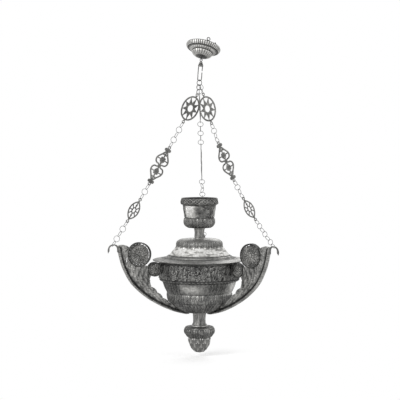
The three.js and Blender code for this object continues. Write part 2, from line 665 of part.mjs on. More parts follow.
function chainParts(chain) {
  const group = new THREE.Group();
  group.position.x = lampX;
  const { out, top, foot } = hubEnds(chain);
  const side = new THREE.Vector3(0, 0, 1).cross(out);
  const links = chainLinks(chain);
  const start = [chain.start, foot.z];
  const path = chain === leftChain ? leftPath : slackPath(links, start, [chainEndR, lampZ + chainEndHeight]);
  const points = path.map(([r, z]) => out.clone().multiplyScalar(r).setZ(z));

  const hubDown = foot.clone().sub(top).normalize();
  const hub = [0, 1, 2].map((i) => top.clone().addScaledVector(hubDown, i * HUB.reach));
  const acrossGather = (GATHER.yaw - Math.atan2(side.y, side.x)) / RAD;
  const hubTwists = [acrossGather, chain.meets + SWIRL / RAD];
  group.add(piece(`hub_rings_${chain.name}`, ringRun(hub, side, HUB.reach, hubTwists), 'wire'));

  const runNames = ['upper_rings', 'middle_rings', 'lower_rings'];
  let at = 0;
  let run = 0;
  while (at < links.length) {
    const link = links[at];
    if (link.kind === 'plate') {
      const [name, body] = plateSolids.get(link.plate);
      const middle = points[at].clone().add(points[at + 1]).multiplyScalar(0.5);
      const down = points[at + 1].clone().sub(points[at]).normalize();
      const turn = link.plate === MEDALLION ? SWIRL : 0;
      const shape = body.clone().applyMatrix4(chainFrame(middle, down, side, turn));
      group.add(piece(`${name}_${chain.name}`, shape, 'dark'));
    }
    if (link.kind === 'ring') {
      const count = chain.rings[run];
      const corners = points.slice(at, at + count + 1);
      const rings = ringRun(corners, side, chain.reach, evenTwists(count));
      group.add(piece(`${runNames[run]}_${chain.name}`, rings, 'wire'));
      run += 1;
      at += count - 1;
    }
    at += 1;
  }
  return group;
}

// Bowl, cover, stems, cup and finial, all turned about the lamp's axis

const coverZ = BOWL.height + SEAT;
const coverTop = coverZ + COVER.height;
const cupStemZ = coverTop + SEAT;
const cupZ = cupStemZ + CUP_STEM.height + SEAT;
const lowerStemZ = -SEAT - LOWER_STEM.height;
const collarZ = lowerStemZ - SEAT - COLLAR.height;
const budTop = collarZ - SEAT;
const tieNutZ = cupZ + CUP.wall + SEAT;
const glassZ = tieNutZ + TIE.nutHeight + SEAT;

function bowlShell() {
  const { height, wall, belly, frieze, friezeBottom, foot, segments } = BOWL;
  const outside = [
    [BORE, 0], [foot, 0], ...belly, [frieze - 10.5, friezeBottom - 4], [frieze - 3, friezeBottom],
    [frieze, friezeBottom + 5], [frieze, height - 6], [frieze - 1.5, height],
  ];
  const shell = toSolid(revolve(shellProfile(outside, wall, [2, 3, 5, 7, 9]), segments));
  const holes = CHAINS.flatMap(({ azimuth }) => [
    cylinder(SCREW.radius + SEAT, frieze - 12, frieze + 12, 6)
      .rotateY(Math.PI / 2).translate(0, 0, scroll[1]).rotateZ(-azimuth * RAD),
    cylinder(RIVET.radius + SEAT, -8, 8, 10).translate(RIVET.at, 0, 0).rotateZ(-azimuth * RAD),
  ]);
  return cut(shell, holes);
}

function coverShell() {
  const { edge, wall, lift, bezel, steps, neck, height, top, segments } = COVER;
  const inner = BOWL.frieze - 1.5 - BOWL.wall - SEAT; // the bezel stands just inside the bowl's rim
  return revolve([
    [BORE, height], [BORE, height - wall], [top - 2, height - wall],
    [neck[0][0] - 2, height + neck[0][1] - 1], [steps[2][0] - 2.6, steps[2][1] - 2.8],
    [inner - wall, lift - wall], [inner - wall, -bezel], [inner, -bezel], [inner, 0],
    [edge - 1, 0], [edge, lift / 2], ...steps, ...neck.map(([r, z]) => [r, height + z]), [top, height],
  ], segments).translate(0, 0, coverZ);
}

function stem({ height, wall, top, waist, bottom }, z) {
  const outside = [
    [bottom, 0], [waist + 0.5, height * 0.24], [waist, height * 0.55], [waist + 1, height * 0.8],
    [top, height],
  ];
  const inside = outside.map(([r, h]) => [r - wall, h]).reverse();
  return revolve([...outside, ...inside], 16).translate(0, 0, z);
}

// A cup with a flat foot, which stands on its stem and is bored for the tie rod.
function cupShell() {
  const { height, wall, rim, lip, waist, bulge, foot, segments } = CUP;
  const outside = [
    [BORE, 0], [foot - 3, 0], [foot, 3.4], [bulge, 14], [waist + 0.2, 28], [waist + 2.4, 46],
    [rim - 3, 64], [lip, 67], [rim, height],
  ];
  return revolve(shellProfile(outside, wall, [2, 5]), segments).translate(0, 0, cupZ);
}

function collarShell() {
  const { height, wall, top, widest, bottom, levels, flutes, flute } = COLLAR;
  const profile = [
    [BORE, 0], [bottom, 0], [widest - 4.5, levels[0]], [widest, levels[1]], [widest - 1, levels[2]],
    [top, height], [BORE + wall, height], [BORE + wall, height - wall], [widest - 4, levels[2] - 2],
    [bottom - 2, wall], [BORE, wall],
  ];
  const ripple = (radius, z, step) => (step % 2 && radius > widest - 2 ? radius - flute : radius);
  return revolve(profile, 2 * flutes, ripple).translate(0, 0, collarZ);
}

// A cone of overlapping scales, set point to gap from row to row.
function budShape() {
  const { height, radius, rows, scales, scale } = BUD;
  const profile = [[0, 0], [radius, 0]];
  for (let row = 1; row <= rows; row += 1) {
    const share = row / (rows + 0.6);
    const r = radius * Math.sqrt(1 - share ** 2.2);
    profile.push([r + scale * 0.5, -height * share + 2.2], [r - scale * 0.5, -height * share]);
  }
  profile.push([2.4, -height * 0.985], [0, -height]);
  const bumpy = (r, z, step) => {
    const row = Math.floor(-z / height * (rows + 0.6));
    return (step + row) % 2 && r > radius / 4 && z < 0 ? r - scale * 0.6 : r;
  };
  const cone = toSolid(revolve(profile.reverse(), scales * 2, bumpy).translate(0, 0, budTop));
  return cut(cone, [cylinder(TIE.radius + SEAT, budTop - BUD.plug - SEAT, budTop + 1, 10)]);
}

// One rod holds the finial, stem, bowl, cover, stem and cup together, with a nut on the cup's floor.
function tieParts() {
  const rodTop = tieNutZ + TIE.nutHeight - TIE.sunk;
  const rod = revolve([
    [0, budTop - BUD.plug], [TIE.radius, budTop - BUD.plug], [TIE.radius, collarZ + COLLAR.wall + SEAT],
    [TIE.head, collarZ + COLLAR.wall + SEAT], [TIE.head, collarZ + COLLAR.wall + SEAT + 3],
    [TIE.radius, collarZ + COLLAR.wall + SEAT + 3], [TIE.radius, rodTop], [0, rodTop],
  ], 10);
  const nut = hexNut(TIE.nut, TIE.radius, tieNutZ, tieNutZ + TIE.nutHeight);
  return [piece('tie_rod', rod, 'dark'), piece('tie_nut', nut, 'dark')];
}

function glassParts() {
  const { radius, base, wall, height, floor, segments } = GLASS;
  const glass = revolve([
    [0, 0], [base, 0], [base + 6, height * 0.4], [radius, height],
    [radius - wall, height], [base + 6 - wall, height * 0.4], [base - wall, floor], [0, floor],
  ], segments).translate(0, 0, glassZ);
  const floatZ = glassZ + floor + SEAT;
  const { thickness, tube, tubeHeight, wick, above } = FLOAT;
  const disc = revolve([
    [wick + SEAT, floatZ], [FLOAT.radius, floatZ], [FLOAT.radius, floatZ + thickness],
    [tube, floatZ + thickness], [tube, floatZ + tubeHeight], [wick + SEAT, floatZ + tubeHeight],
  ], 14);
  const wickTop = floatZ + tubeHeight + above;
  const wickRod = revolve([[0, floatZ], [wick, floatZ], [wick, wickTop - 2], [0.5, wickTop], [0, wickTop]], 8);
  return [
    piece('oil_glass', glass, glassPaint()),
    piece('wick_float', disc, 'pale'),
    piece('wick', wickRod, new THREE.MeshStandardMaterial({ color: 0xe6dfcc, roughness: 0.95, metalness: 0 })),
  ];
}

// Bracket, in its own frame: X out from the lamp's axis, Z up, and Y across it

// The bracket's outer edge, drawn in by the inset: a flat tongue under the bowl, then one long curve.
function spinePoints(inset, steps) {
  const curve = new THREE.SplineCurve(BRACKET.spine.map(raised).map(([x, z]) => new THREE.Vector2(x, z)));
  const curved = Array.from({ length: steps + 1 }, (_, i) => {
    const point = curve.getPoint(i / steps);
    const along = curve.getTangent(i / steps);
    return [point.x - along.y * inset, point.y + along.x * inset];
  });
  return [[BRACKET.tongue[0], BRACKET.tongue[1] + inset], ...curved];
}

// The inner edge of the leaf, cut into small lobes.
function leafEdge() {
  const curve = new THREE.SplineCurve(BRACKET.inner.map(raised).map(([x, z]) => new THREE.Vector2(x, z)));
  const count = 2 * BRACKET.lobes;
  return Array.from({ length: count + 1 }, (_, i) => {
    const point = curve.getPoint(i / count);
    const along = curve.getTangent(i / count);
    const out = i % 2 ? BRACKET.lobe : 0;
    return [point.x - along.y * -out, point.y + along.x * -out];
  });
}

// The hook at the top: an arch that ends in a thicker, pointed leaf.
function archOutline() {
  const { archSteps, archThickness, tip } = BRACKET;
  const turn = (tip.bearing - Math.PI) / archSteps;
  const angles = Array.from({ length: archSteps + 1 }, (_, i) => Math.PI + turn * i);
  const outer = angles.map((angle) => archPoint(angle, 0));
  const inner = angles.slice(0, -1).map((angle) => {
    const leaf = Math.exp(-((angle / tip.spread) ** 2));
    return archPoint(angle, archThickness + tip.thickness * leaf);
  });
  return [...outer, ...inner.reverse()];
}

// Short curved slots let light through between the rosette and the band of the boss.
function bossSlots() {
  const { bossRadius, slots } = BRACKET;
  return slots.middles.map((middle) => {
    const [from, to] = [Math.PI - middle - slots.half, Math.PI - middle + slots.half];
    const outer = arc(boss, bossRadius - slots.outside, from, to, 2);
    const inner = arc(boss, ROSETTE.large + slots.inside, to, from, 2);
    return [...outer, ...inner];
  });
}

function bracketSolid() {
  const { web, strip, edge, top, bossRadius, scrollRadius, lug, archWidth, spineSteps, bandSides } = BRACKET;
  const leaf = [...spinePoints(0, spineSteps), ...top.map(raised), ...leafEdge()];
  const edging = [...spinePoints(0, spineSteps), ...spinePoints(edge, spineSteps).reverse()];
  const band = (centre, radius) => cut(
    toSolid(slab(circle(centre, radius, bandSides), strip)),
    [slab(circle(centre, radius - edge, bandSides), 2 * strip)],
  );
  const lugFrom = BOWL.frieze + SEAT;
  const lugTo = scroll[0] - ROSETTE.small - SEAT - lug.wall;
  const solid = [
    slab(leaf, web),
    slab(edging, strip),
    slab(archOutline(), archWidth),
    slab(circle(boss, bossRadius - edge / 2, bandSides), web),
    slab(circle(scroll, scrollRadius - edge / 2, bandSides), web),
    box(lugTo - lugFrom, lug.width, lug.width).translate((lugFrom + lugTo) / 2, 0, scroll[1]),
  ].map(toSolid).concat([band(boss, bossRadius), band(scroll, scrollRadius)]).reduce((a, b) => a.add(b));
  const wide = 3 * strip;
  return cut(solid, [
    slab(circle(boss, ROSETTE.large + SEAT, 2 * ROSETTE.petals), wide),
    slab(circle(scroll, ROSETTE.small + SEAT, 12), wide),
    ...bossSlots().map((points) => slab(points, wide)),
    cylinder(SCREW.radius + SEAT, lugFrom - lug.wall, lugTo + lug.wall, 6)
      .rotateY(Math.PI / 2).translate(0, 0, scroll[1]),
    cylinder(RIVET.radius + SEAT, -4 * edge, edge, 8).translate(RIVET.at, 0, 0),
  ]);
}

function rosette(radius, centre, segments) {
  const { edge, dome } = ROSETTE;
  const half = [[radius, edge / 2], [radius * 0.6, dome / 2 - 1], [radius * 0.36, dome / 2 - 2.2]];
  const profile = [[0, -dome / 2], ...half.map(([r, z]) => [r, -z]).reverse(), ...half, [0, dome / 2]];
  const petals = (r, z, step) => (step % 2 && r > radius * 0.5 && r < radius * 0.9 ? r * 0.86 : r);
  return revolve(profile, segments, petals).rotateX(Math.PI / 2).translate(centre[0], 0, centre[1]);
}

function bracketParts(chain, solid) {
  const group = new THREE.Group();
  group.rotation.z = -chain.azimuth * RAD;
  group.add(piece(`bracket_${chain.name}`, fromSolid(solid), 'silver'));
  group.add(piece(`large_rosette_${chain.name}`, rosette(ROSETTE.large, boss, 2 * ROSETTE.petals), 'dark'));
  group.add(piece(`small_rosette_${chain.name}`, rosette(ROSETTE.small, scroll, 12), 'dark'));
  const headTo = BOWL.frieze - BOWL.wall - SEAT - SCREW.headAir;
  const reach = scroll[0] - ROSETTE.small - 2 * SEAT;
  const screw = revolve([
    [0, headTo - SCREW.headHeight], [SCREW.head, headTo - SCREW.headHeight], [SCREW.head, headTo],
    [SCREW.radius, headTo], [SCREW.radius, reach], [0, reach],
  ], 6).rotateY(Math.PI / 2).translate(0, 0, scroll[1]);
  group.add(piece(`bracket_screw_${chain.name}`, screw, 'dark'));
  const under = bracketFoot - SEAT;
  const over = BOWL.wall + SEAT;
  const rivet = revolve([
    [0, under - RIVET.dome], [RIVET.head, under], [RIVET.radius, under],
    [RIVET.radius, over], [RIVET.head, over], [0, over + RIVET.dome],
  ], 6).translate(RIVET.at, 0, 0);
  group.add(piece(`bracket_rivet_${chain.name}`, rivet, 'dark'));
  return group;
}

function lampParts() {
  const group = new THREE.Group();
  group.position.set(lampX, 0, lampZ);
  group.add(piece('bowl_shell', bowlShell(), 'dark'));
  group.add(piece('bowl_cover', coverShell(), 'silver'));
  group.add(piece('cup_stem', stem(CUP_STEM, cupStemZ), 'silver'));
  group.add(piece('cup', cupShell(), 'silver'));
  group.add(piece('lower_stem', stem(LOWER_STEM, lowerStemZ), 'silver'));
  group.add(piece('finial_collar', collarShell(), 'dark'));
  group.add(piece('finial_bud', budShape(), 'pale'));
  group.add(...tieParts(), ...glassParts());
  const solid = bracketSolid();
  CHAINS.forEach((chain) => group.add(bracketParts(chain, solid)));
  return group;
}

const lamp = new THREE.Group();
lamp.add(canopyParts(), stapleParts(), hookParts(), gatherParts());
CHAINS.forEach((chain) => lamp.add(chainParts(chain)));
lamp.add(lampParts());

export default lamp;
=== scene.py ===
import math

import bpy
import numpy as np
from mathutils import Matrix, Vector


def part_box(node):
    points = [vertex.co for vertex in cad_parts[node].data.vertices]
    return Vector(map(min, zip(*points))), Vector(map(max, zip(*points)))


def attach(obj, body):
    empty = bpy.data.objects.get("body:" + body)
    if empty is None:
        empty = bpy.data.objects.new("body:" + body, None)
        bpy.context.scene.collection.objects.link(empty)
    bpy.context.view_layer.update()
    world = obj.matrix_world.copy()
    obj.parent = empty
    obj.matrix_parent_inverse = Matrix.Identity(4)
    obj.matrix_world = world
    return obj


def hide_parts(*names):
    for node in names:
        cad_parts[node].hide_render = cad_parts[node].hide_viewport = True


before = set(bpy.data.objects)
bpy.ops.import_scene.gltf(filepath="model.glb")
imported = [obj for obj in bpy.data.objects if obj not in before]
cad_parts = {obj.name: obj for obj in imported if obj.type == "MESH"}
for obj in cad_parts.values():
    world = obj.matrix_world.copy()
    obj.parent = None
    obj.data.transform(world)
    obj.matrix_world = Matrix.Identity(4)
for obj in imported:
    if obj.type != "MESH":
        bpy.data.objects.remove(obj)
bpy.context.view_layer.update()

# A vigil lamp in worked, darkened silver. Shapes are made in millimetres from the same values as the
# CAD, as grids that carry the chased relief, and are written to the scene in metres.

MM = 0.001
RAD = math.pi / 180
TAU = 2 * math.pi
FINE = 1.0

# Dimensions shared with the CAD

SEAT, SKEW = 0.3, 0.2
LAMP_X = -5.0
LAMP_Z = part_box("bowl_shell")[0].z / MM
BORE = 3.6

CANOPY_LEAN, CANOPY_LEAN_TO = 23.4 * RAD, 59.7 * RAD
STAPLE_HEIGHT, STAPLE_RADIUS, STAPLE_WIRE = 8, 6, 1.5
PLATE_RADIUS, PLATE_TOP = 46, 35.5
EYE_DROP, EYE_RADIUS, EYE_WIRE, EYE_SHANK = 7, 2.7, 0.9, 1.3
RIM_EYE_RADIUS, RIM_EYE_WIRE, RIM_EYE_BEARING = 4.2, 1.1, -75 * RAD
STUD_OUT, STUD_BEARING = 43.7, -44.5 * RAD

HOOK_LENGTH, HOOK_LEAN = 59.1, 5
HOOK_WIRE, HOOK_EYE, HOOK_EYE_WIRE, LEG_SPREAD = 1.15, 3.2, 0.9, 5.1
HOOK_GAP_TOP, HOOK_GAP_BOTTOM = 31.5, 35.7
FERRULE_TOP, FERRULE_BOTTOM = 5.4, 19.2
GATHER_HALF, GATHER_DROP, GATHER_WIRE, GATHER_YAW = 9.6, 8.2, 0.9, -48 * RAD

RING_WIRE, RING_BITE, RING_SEGMENTS = 0.6, 0.2, 8
HUB_REACH, HUB_SPACING = 13.4, 5.1
PLATE_THICKNESS, LOOP, LOOP_HOLE = 2, 4.7, 2.4
MEDALLION_HOLES, HEARTS_HOLES, ALMOND_HOLES = 86, 116, 69.5
SWIRL, LEFT_BEND = 6 * RAD, 5 * RAD
CHAINS = [
    dict(name="left", azimuth=157.6, rings=(5, 3, 5), reach=15.9, start=5.5, place=0, meets=90),
    dict(name="right", azimuth=38, rings=(4, 4, 7), reach=13.9, start=13.1, place=1, meets=122),
    dict(name="back", azimuth=272.8, rings=(5, 4, 5), reach=14.7, start=11, place=-1, meets=84),
]

COVER_Z, CUP_STEM_Z, CUP_Z, GLASS_Z = 146.3, 206.6, 237.9, 245.0
LOWER_STEM_Z, COLLAR_Z, BUD_TOP, BUD_HEIGHT = -40.3, -71.6, -71.9, 43

ARCH, ARCH_RADIUS, ARCH_WIDTH, ARCH_THICKNESS, ARCH_BEARING = (255, 181), 17.5, 5, 2.8, 75 * RAD
BOSS, BOSS_RADIUS = (180, 168.5), 34
SCROLL, SCROLL_RADIUS = (135.2, 125.8), 20.6
LARGE_ROSETTE, SMALL_ROSETTE = 24.5, 13.2
STRIP, STRIP_THICKNESS, WEB = 14, 1.8, 5
TONGUE = (33, -2.1)
SPINE = [(43, -2.1), (80, 8), (122, 27), (165, 54), (203, 90), (226, 131), (236, 162), (240.3, 183)]
INNER = [(150, 98), (152, 87), (147, 78), (134, 66), (118, 50), (98, 33), (74, 15.5), (54, 3)]
WEB_TOP = [(241, 190), (240, 196.5), (228, 197), (216, 193.5), (207, 187), (205, 150), (186, 142),
           (166, 139), (150, 134), (142, 116)]
RIVET_OUT = 37


# Meshes


def in_scene(name, data):
    """A new object of the scene that shows a mesh, a light or a camera."""
    thing = bpy.data.objects.new(name, data)
    bpy.context.scene.collection.objects.link(thing)
    return thing


def make_piece(name, body, points, faces, material, replaces=(), fields=None, crease=40):
    """A closed mesh from points in millimetres in the row frame and from arrays of faces."""
    points = np.asarray(points, float)
    arrays = [np.asarray(f, np.int64) for f in faces if len(f)]
    volume = 0.0
    for array in arrays:
        first = points[array[:, 0]]
        for k in range(1, array.shape[1] - 1):
            area = np.cross(points[array[:, k]], points[array[:, k + 1]])
            volume += np.einsum("ij,ij->i", first, area).sum()
    if volume < 0:
        arrays = [array[:, ::-1] for array in arrays]
    mesh = bpy.data.meshes.new(name)
    mesh.vertices.add(len(points))
    mesh.vertices.foreach_set("co", (points * MM).astype(np.float32).ravel())
    corners = np.concatenate([array.ravel() for array in arrays])
    sizes = np.concatenate([np.full(len(array), array.shape[1]) for array in arrays])
    mesh.loops.add(len(corners))
    mesh.loops.foreach_set("vertex_index", corners.astype(np.int32))
    mesh.polygons.add(len(sizes))
    mesh.polygons.foreach_set("loop_start", (np.cumsum(sizes) - sizes).astype(np.int32))
    mesh.update(calc_edges=True)
    mesh.validate()
    mesh.polygons.foreach_set("use_smooth", np.ones(len(mesh.polygons), bool))
    mesh.set_sharp_from_angle(angle=crease * RAD)
    for field, values in (fields or {}).items():
        attribute = mesh.attributes.new(field, "FLOAT", "POINT")
        attribute.data.foreach_set("value", np.asarray(values, np.float32).ravel())
    mesh.materials.append(material)
    piece = in_scene(name, mesh)
    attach(piece, body)
    if replaces:
        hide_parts(*replaces)
    return piece


def moved(points, matrix):
    """Points turned and shifted by a 4 by 4 matrix in millimetres."""
    m = np.array(matrix, float)
    return np.asarray(points, float) @ m[:3, :3].T + m[:3, 3]


def grid_faces(rows, columns, wrap_rows):
    """Quads between the rows of a grid whose columns close on themselves."""
    i = np.arange(rows if wrap_rows else rows - 1)
    a, b = np.meshgrid(i, np.arange(columns), indexing="ij")
    c, d = (a + 1) % rows, (b + 1) % columns
    quads = [a * columns + b, a * columns + d, c * columns + d, c * columns + b]
    return np.stack(quads, -1).reshape(-1, 4)


def fans(rows, columns):
    """Triangles that close the first and the last row with the two points after the grid."""
    j = np.arange(columns)
    k = (j + 1) % columns
    last = (rows - 1) * columns
    first_pole = np.full(columns, rows * columns)
    return np.concatenate([
        np.stack([k, j, first_pole], -1),
        np.stack([last + j, last + k, first_pole + 1], -1),
    ])


def merged(parts):
    """Several (points, [faces, ...]) as one list of points and faces, quads and triangles apart."""
    points, quads, triangles, count = [], [], [], 0
    for part, faces in parts:
        for array in faces:
            (quads if array.shape[1] == 4 else triangles).append(array + count)
        points.append(part)
        count += len(part)
    joined = [np.concatenate(group) for group in (quads, triangles) if group]
    return np.concatenate(points), joined


# Lines


def travelled(line):
    """Distance along a line at each of its points, measured in its first two coordinates."""
    return np.concatenate([[0], np.cumsum(np.hypot(*np.diff(line[:, :2], axis=0).T))])


def resample(points, step):
    """The same line with even steps. An upright piece at the start of a line in space is lost, since
    its length in the first two coordinates is nothing."""
    points = np.asarray(points, float)
    along = travelled(points)
    count = max(int(round(along[-1] / step)), 4)
    at = np.linspace(0, along[-1], count + 1)
    return np.stack([np.interp(at, along, points[:, k]) for k in range(points.shape[1])], -1)


def soften(line, times):
    """Rounds the corners of an even line, with both its ends kept."""
    line = line.copy()
    for _ in range(times):
        line[1:-1] = 0.25 * line[:-2] + 0.5 * line[1:-1] + 0.25 * line[2:]
    return line


def spline(points, count):
    """Evenly counted points of the uniform Catmull-Rom curve through the given ones."""
    points = np.asarray(points, float)
    last = len(points) - 1
    at = np.linspace(0, last, count + 1)
    i = np.minimum(at.astype(int), last - 1)
    w = (at - i)[:, None]
    p0, p1 = points[np.maximum(i - 1, 0)], points[i]
    p2, p3 = points[i + 1], points[np.minimum(i + 2, last)]
    v0, v1 = (p2 - p0) / 2, (p3 - p1) / 2
    return (2 * p1 - 2 * p2 + v0 + v1) * w ** 3 + (3 * p2 - 3 * p1 - 2 * v0 - v1) * w ** 2 + v0 * w + p1


def line_normals(line):
    """Unit normals to the right of a plane line."""
    way = np.gradient(line, axis=0)
    way /= np.maximum(np.hypot(*way.T), 1e-9)[:, None]
    return np.stack([way[:, 1], -way[:, 0]], -1)


def ring_line(half_width, half_height, count=36):
    """An oval in the X, Z plane round the origin."""
    angle = TAU * np.arange(count) / count
    return np.stack([half_width * np.cos(angle), 0 * angle, half_height * np.sin(angle)], -1)


# Patterns, as heights from 0 to 1


def smooth(low, high, x):
    t = np.clip((x - low) / (high - low), 0, 1)
    return t * t * (3 - 2 * t)


def between(x, low, high, soft=0.8):
    return smooth(low - soft, low + soft, x) * (1 - smooth(high - soft, high + soft, x))


def ridge(x, middle, width):
    return np.exp(-(((x - middle) / width) ** 2))


def ridges(x, *each):
    """The sum of several ridges, each given as (middle, height, width)."""
    return sum(height * ridge(x, middle, width) for middle, height, width in each)


def wave(x):
    """A smooth wave with a crest at each whole number."""
    return 0.5 + 0.5 * np.cos(TAU * x)


def dome(x):
    """A half circle over x from -1 to 1."""
    return np.sqrt(np.clip(1 - x ** 2, 0, 1))


def beads(x):
    """A row of round beads, one to each unit of x."""
    return dome(2 * (x - np.floor(x)) - 1)


def noise(u, v, across, up, seed, octaves=3):
    """Smooth noise that closes on itself along u, for u and v from 0 to 1."""
    total, weight, whole = 0.0, 1.0, 0.0
    for octave in range(octaves):
        cells_u, cells_v = across * 2 ** octave, up * 2 ** octave
        table = np.random.default_rng(seed + octave).random((cells_v + 2, cells_u))
        x, y = u * cells_u, np.clip(v, 0, 1) * cells_v
        i, j = np.floor(x).astype(int), np.minimum(np.floor(y).astype(int), cells_v)
        fx, fy = smooth(0, 1, x - i), smooth(0, 1, y - j)
        low = table[j, i % cells_u] * (1 - fx) + table[j, (i + 1) % cells_u] * fx
        high = table[j + 1, i % cells_u] * (1 - fx) + table[j + 1, (i + 1) % cells_u] * fx
        total, whole = total + weight * (low * (1 - fy) + high * fy), whole + weight
        weight /= 2
    return total / whole


def unevenness(u, v, across, up, seed):
    """Noise round zero."""
    return noise(u, v, across, up, seed) - 0.5


def cells(u, count, shift=0.0):
    """(place from -1 to 1 in its cell, number of the cell) for count cells round the turn."""
    at = u * count + shift
    return 2 * (at - np.floor(at)) - 1, np.floor(at).astype(int) % count


def leaf(x, y, lobes=4):
    """A lobed leaf with a midrib and veins, in |x| up to 1, from its root at y 0 to its tip at y 1."""
    inside_y = np.clip(y, 0, 1)
    width = np.sin(math.pi * inside_y ** 0.8) ** 0.65 * (0.84 + 0.16 * np.cos(TAU * lobes * inside_y))
    width = np.where((y > 0) & (y < 1), width, 0)
    body = smooth(0, 0.14, width - np.abs(x))
    fold = dome(x / np.maximum(width, 0.02))
    rib = ridge(x, 0, 0.08)
    veins = wave(lobes * (inside_y - 0.5 * np.abs(x)))
    return body * (0.42 + 0.36 * fold + 0.22 * rib - 0.3 * (1 - veins) * (1 - rib))


def leaf_row(u, count, up, behind, wide=0.95, uneven=0.0):
    """A ring of leaves, and narrower ones behind them that show in the gaps."""
    x, n = cells(u, count)
    gap_x, _ = cells(u, count, 0.5)
    front = leaf(x / wide, up * (1 - uneven + uneven * (n % 2)), 4)
    return np.maximum(front, 0.7 * leaf(gap_x / 0.7, up * behind, 3))


def volute(x, y):
    """A spiral scroll in the disc of radius 1."""
    r = np.hypot(x, y)
    phase = np.log(np.maximum(r, 0.04)) / 0.34 - np.arctan2(y, x)
    return (0.5 + 0.5 * np.cos(phase)) ** 1.3 * (1 - smooth(0.82, 1.0, r))


def flower(x, y, petals):
    """A small rosette in the disc of radius 1."""
    r, a = np.hypot(x, y), np.arctan2(y, x)
    cut = 0.5 + 0.5 * np.cos(petals * a)
    edge = 0.6 + 0.4 * cut
    body = 1 - smooth(edge - 0.16, edge, r)
    return np.maximum(body * (0.35 + 0.4 * cut * smooth(0.25, 0.5, r)), dome(r / 0.3))


def cavity(height, row_mm, column_mm, reach=2.0, gain=0.75):
    """How far a point stands above its neighbourhood: 0 in a hollow, 0.5 on the level, 1 on a ridge."""
    k = max(int(round(reach / column_mm)), 1)
    mean = sum(np.roll(height, s, 1) for s in range(-k, k + 1)) / (2 * k + 1)
    k = max(int(round(reach / row_mm)), 1)
    padded = np.pad(mean, ((k, k), (0, 0)), mode="edge")
    mean = sum(padded[s:s + len(mean)] for s in range(2 * k + 1)) / (2 * k + 1)
    return np.clip(0.5 + gain * (height - mean), 0, 1)


# Materials


def add(tree, kind, inputs=None, **settings):
    """A new node. Each input is a value or the output socket that feeds it."""
    node = tree.nodes.new(kind)
    for key, value in settings.items():
        setattr(node, key, value)
    feed(tree, node, inputs or {})
    return node


def feed(tree, node, inputs):
    for key, value in inputs.items():
        if isinstance(value, bpy.types.NodeSocket):
            tree.links.new(value, node.inputs[key])
        else:
            node.inputs[key].default_value = value


def of_type(tree, kind):
    return next(node for node in tree.nodes if node.type == kind)


def new_material(name):
    """(material, its node tree, its principled shader)"""
    material = bpy.data.materials.new(name)
    material.use_nodes = True
    return material, material.node_tree, of_type(material.node_tree, "BSDF_PRINCIPLED")


def attribute_value(tree, name):
    return add(tree, "ShaderNodeAttribute", attribute_name=name).outputs["Fac"]


def object_place(tree):
    return add(tree, "ShaderNodeTexCoord").outputs["Object"]


def math_node(tree, operation, *values):
    return add(tree, "ShaderNodeMath", dict(enumerate(values)), operation=operation).outputs[0]


def sum_of(tree, first, second, scale, offset=0.0):
    """first + second * scale + offset."""
    return math_node(tree, "ADD", math_node(tree, "MULTIPLY_ADD", second, scale, offset), first)


def noise_node(tree, place, scale, detail=3.0, roughness=0.55, stretch=None):
    if stretch:
        place = add(tree, "ShaderNodeMapping", {"Scale": stretch, "Vector": place}).outputs["Vector"]
    inputs = {"Scale": scale, "Detail": detail, "Roughness": roughness, "Vector": place}
    return add(tree, "ShaderNodeTexNoise", inputs).outputs["Fac"]


def color_ramp(tree, factor, stops):
    """Colour by factor, with stops of (place, colour)."""
    ramp = add(tree, "ShaderNodeValToRGB", {"Fac": factor})
    elements = ramp.color_ramp.elements
    while len(elements) < len(stops):
        elements.new(0.5)
    for element, (at, colour) in zip(elements, stops):
        element.position, element.color = at, (*colour, 1)
    return ramp.outputs["Color"]


def map_range(tree, value, low, high):
    inputs = {"Value": value, "To Min": low, "To Max": high}
    return add(tree, "ShaderNodeMapRange", inputs).outputs["Result"]


SILVER_STOPS = [
    (0.0, (0.012, 0.012, 0.012)), (0.2, (0.045, 0.045, 0.044)), (0.42, (0.13, 0.13, 0.126)),
    (0.62, (0.27, 0.268, 0.258)), (0.82, (0.5, 0.495, 0.475)), (1.0, (0.78, 0.775, 0.76)),
]
SILVER_METALLIC = 0.85
HAMMER_STRENGTH, HAMMER_DEPTH = 0.5, 0.0006


def silver(name, level=0.035, worked=True, rough=0.52, contrast=0.7, patches=0.5, grain=0.6,
           stretch=None):
    """Old silver: darker and duller where the patina lies, brighter and smoother where it is worn.
    Worked pieces take their tone and wear from the mesh, and others are even apart from the patina."""
    material, tree, shader = new_material(name)
    place = object_place(tree)
    broad = noise_node(tree, place, 34, 2.0, 0.5)
    middle = noise_node(tree, place, 150, 4.0, 0.6, stretch)
    fine = noise_node(tree, place, 900, 3.0, 0.6, stretch)
    shade = level
    if worked:
        # On some worked pieces the tone holds painted highlights and painted shade, which the base colour
        # carries.
        tone, wear = attribute_value(tree, "tone"), attribute_value(tree, "wear")
        shade = sum_of(tree, tone, wear, contrast, level - contrast / 2)
    for pattern, amount in ((broad, patches), (middle, grain), (fine, grain / 2)):
        shade = sum_of(tree, shade, pattern, amount, -amount / 2)
    hammer = sum_of(tree, middle, fine, 0.35)
    inputs = {"Height": hammer, "Strength": HAMMER_STRENGTH, "Distance": HAMMER_DEPTH}
    feed(tree, shader, {
        "Base Color": color_ramp(tree, shade, SILVER_STOPS),
        "Roughness": map_range(tree, shade, rough + 0.2, rough - 0.12),
        "Normal": add(tree, "ShaderNodeBump", inputs).outputs["Normal"],
        "Metallic": SILVER_METALLIC,
    })
    return material


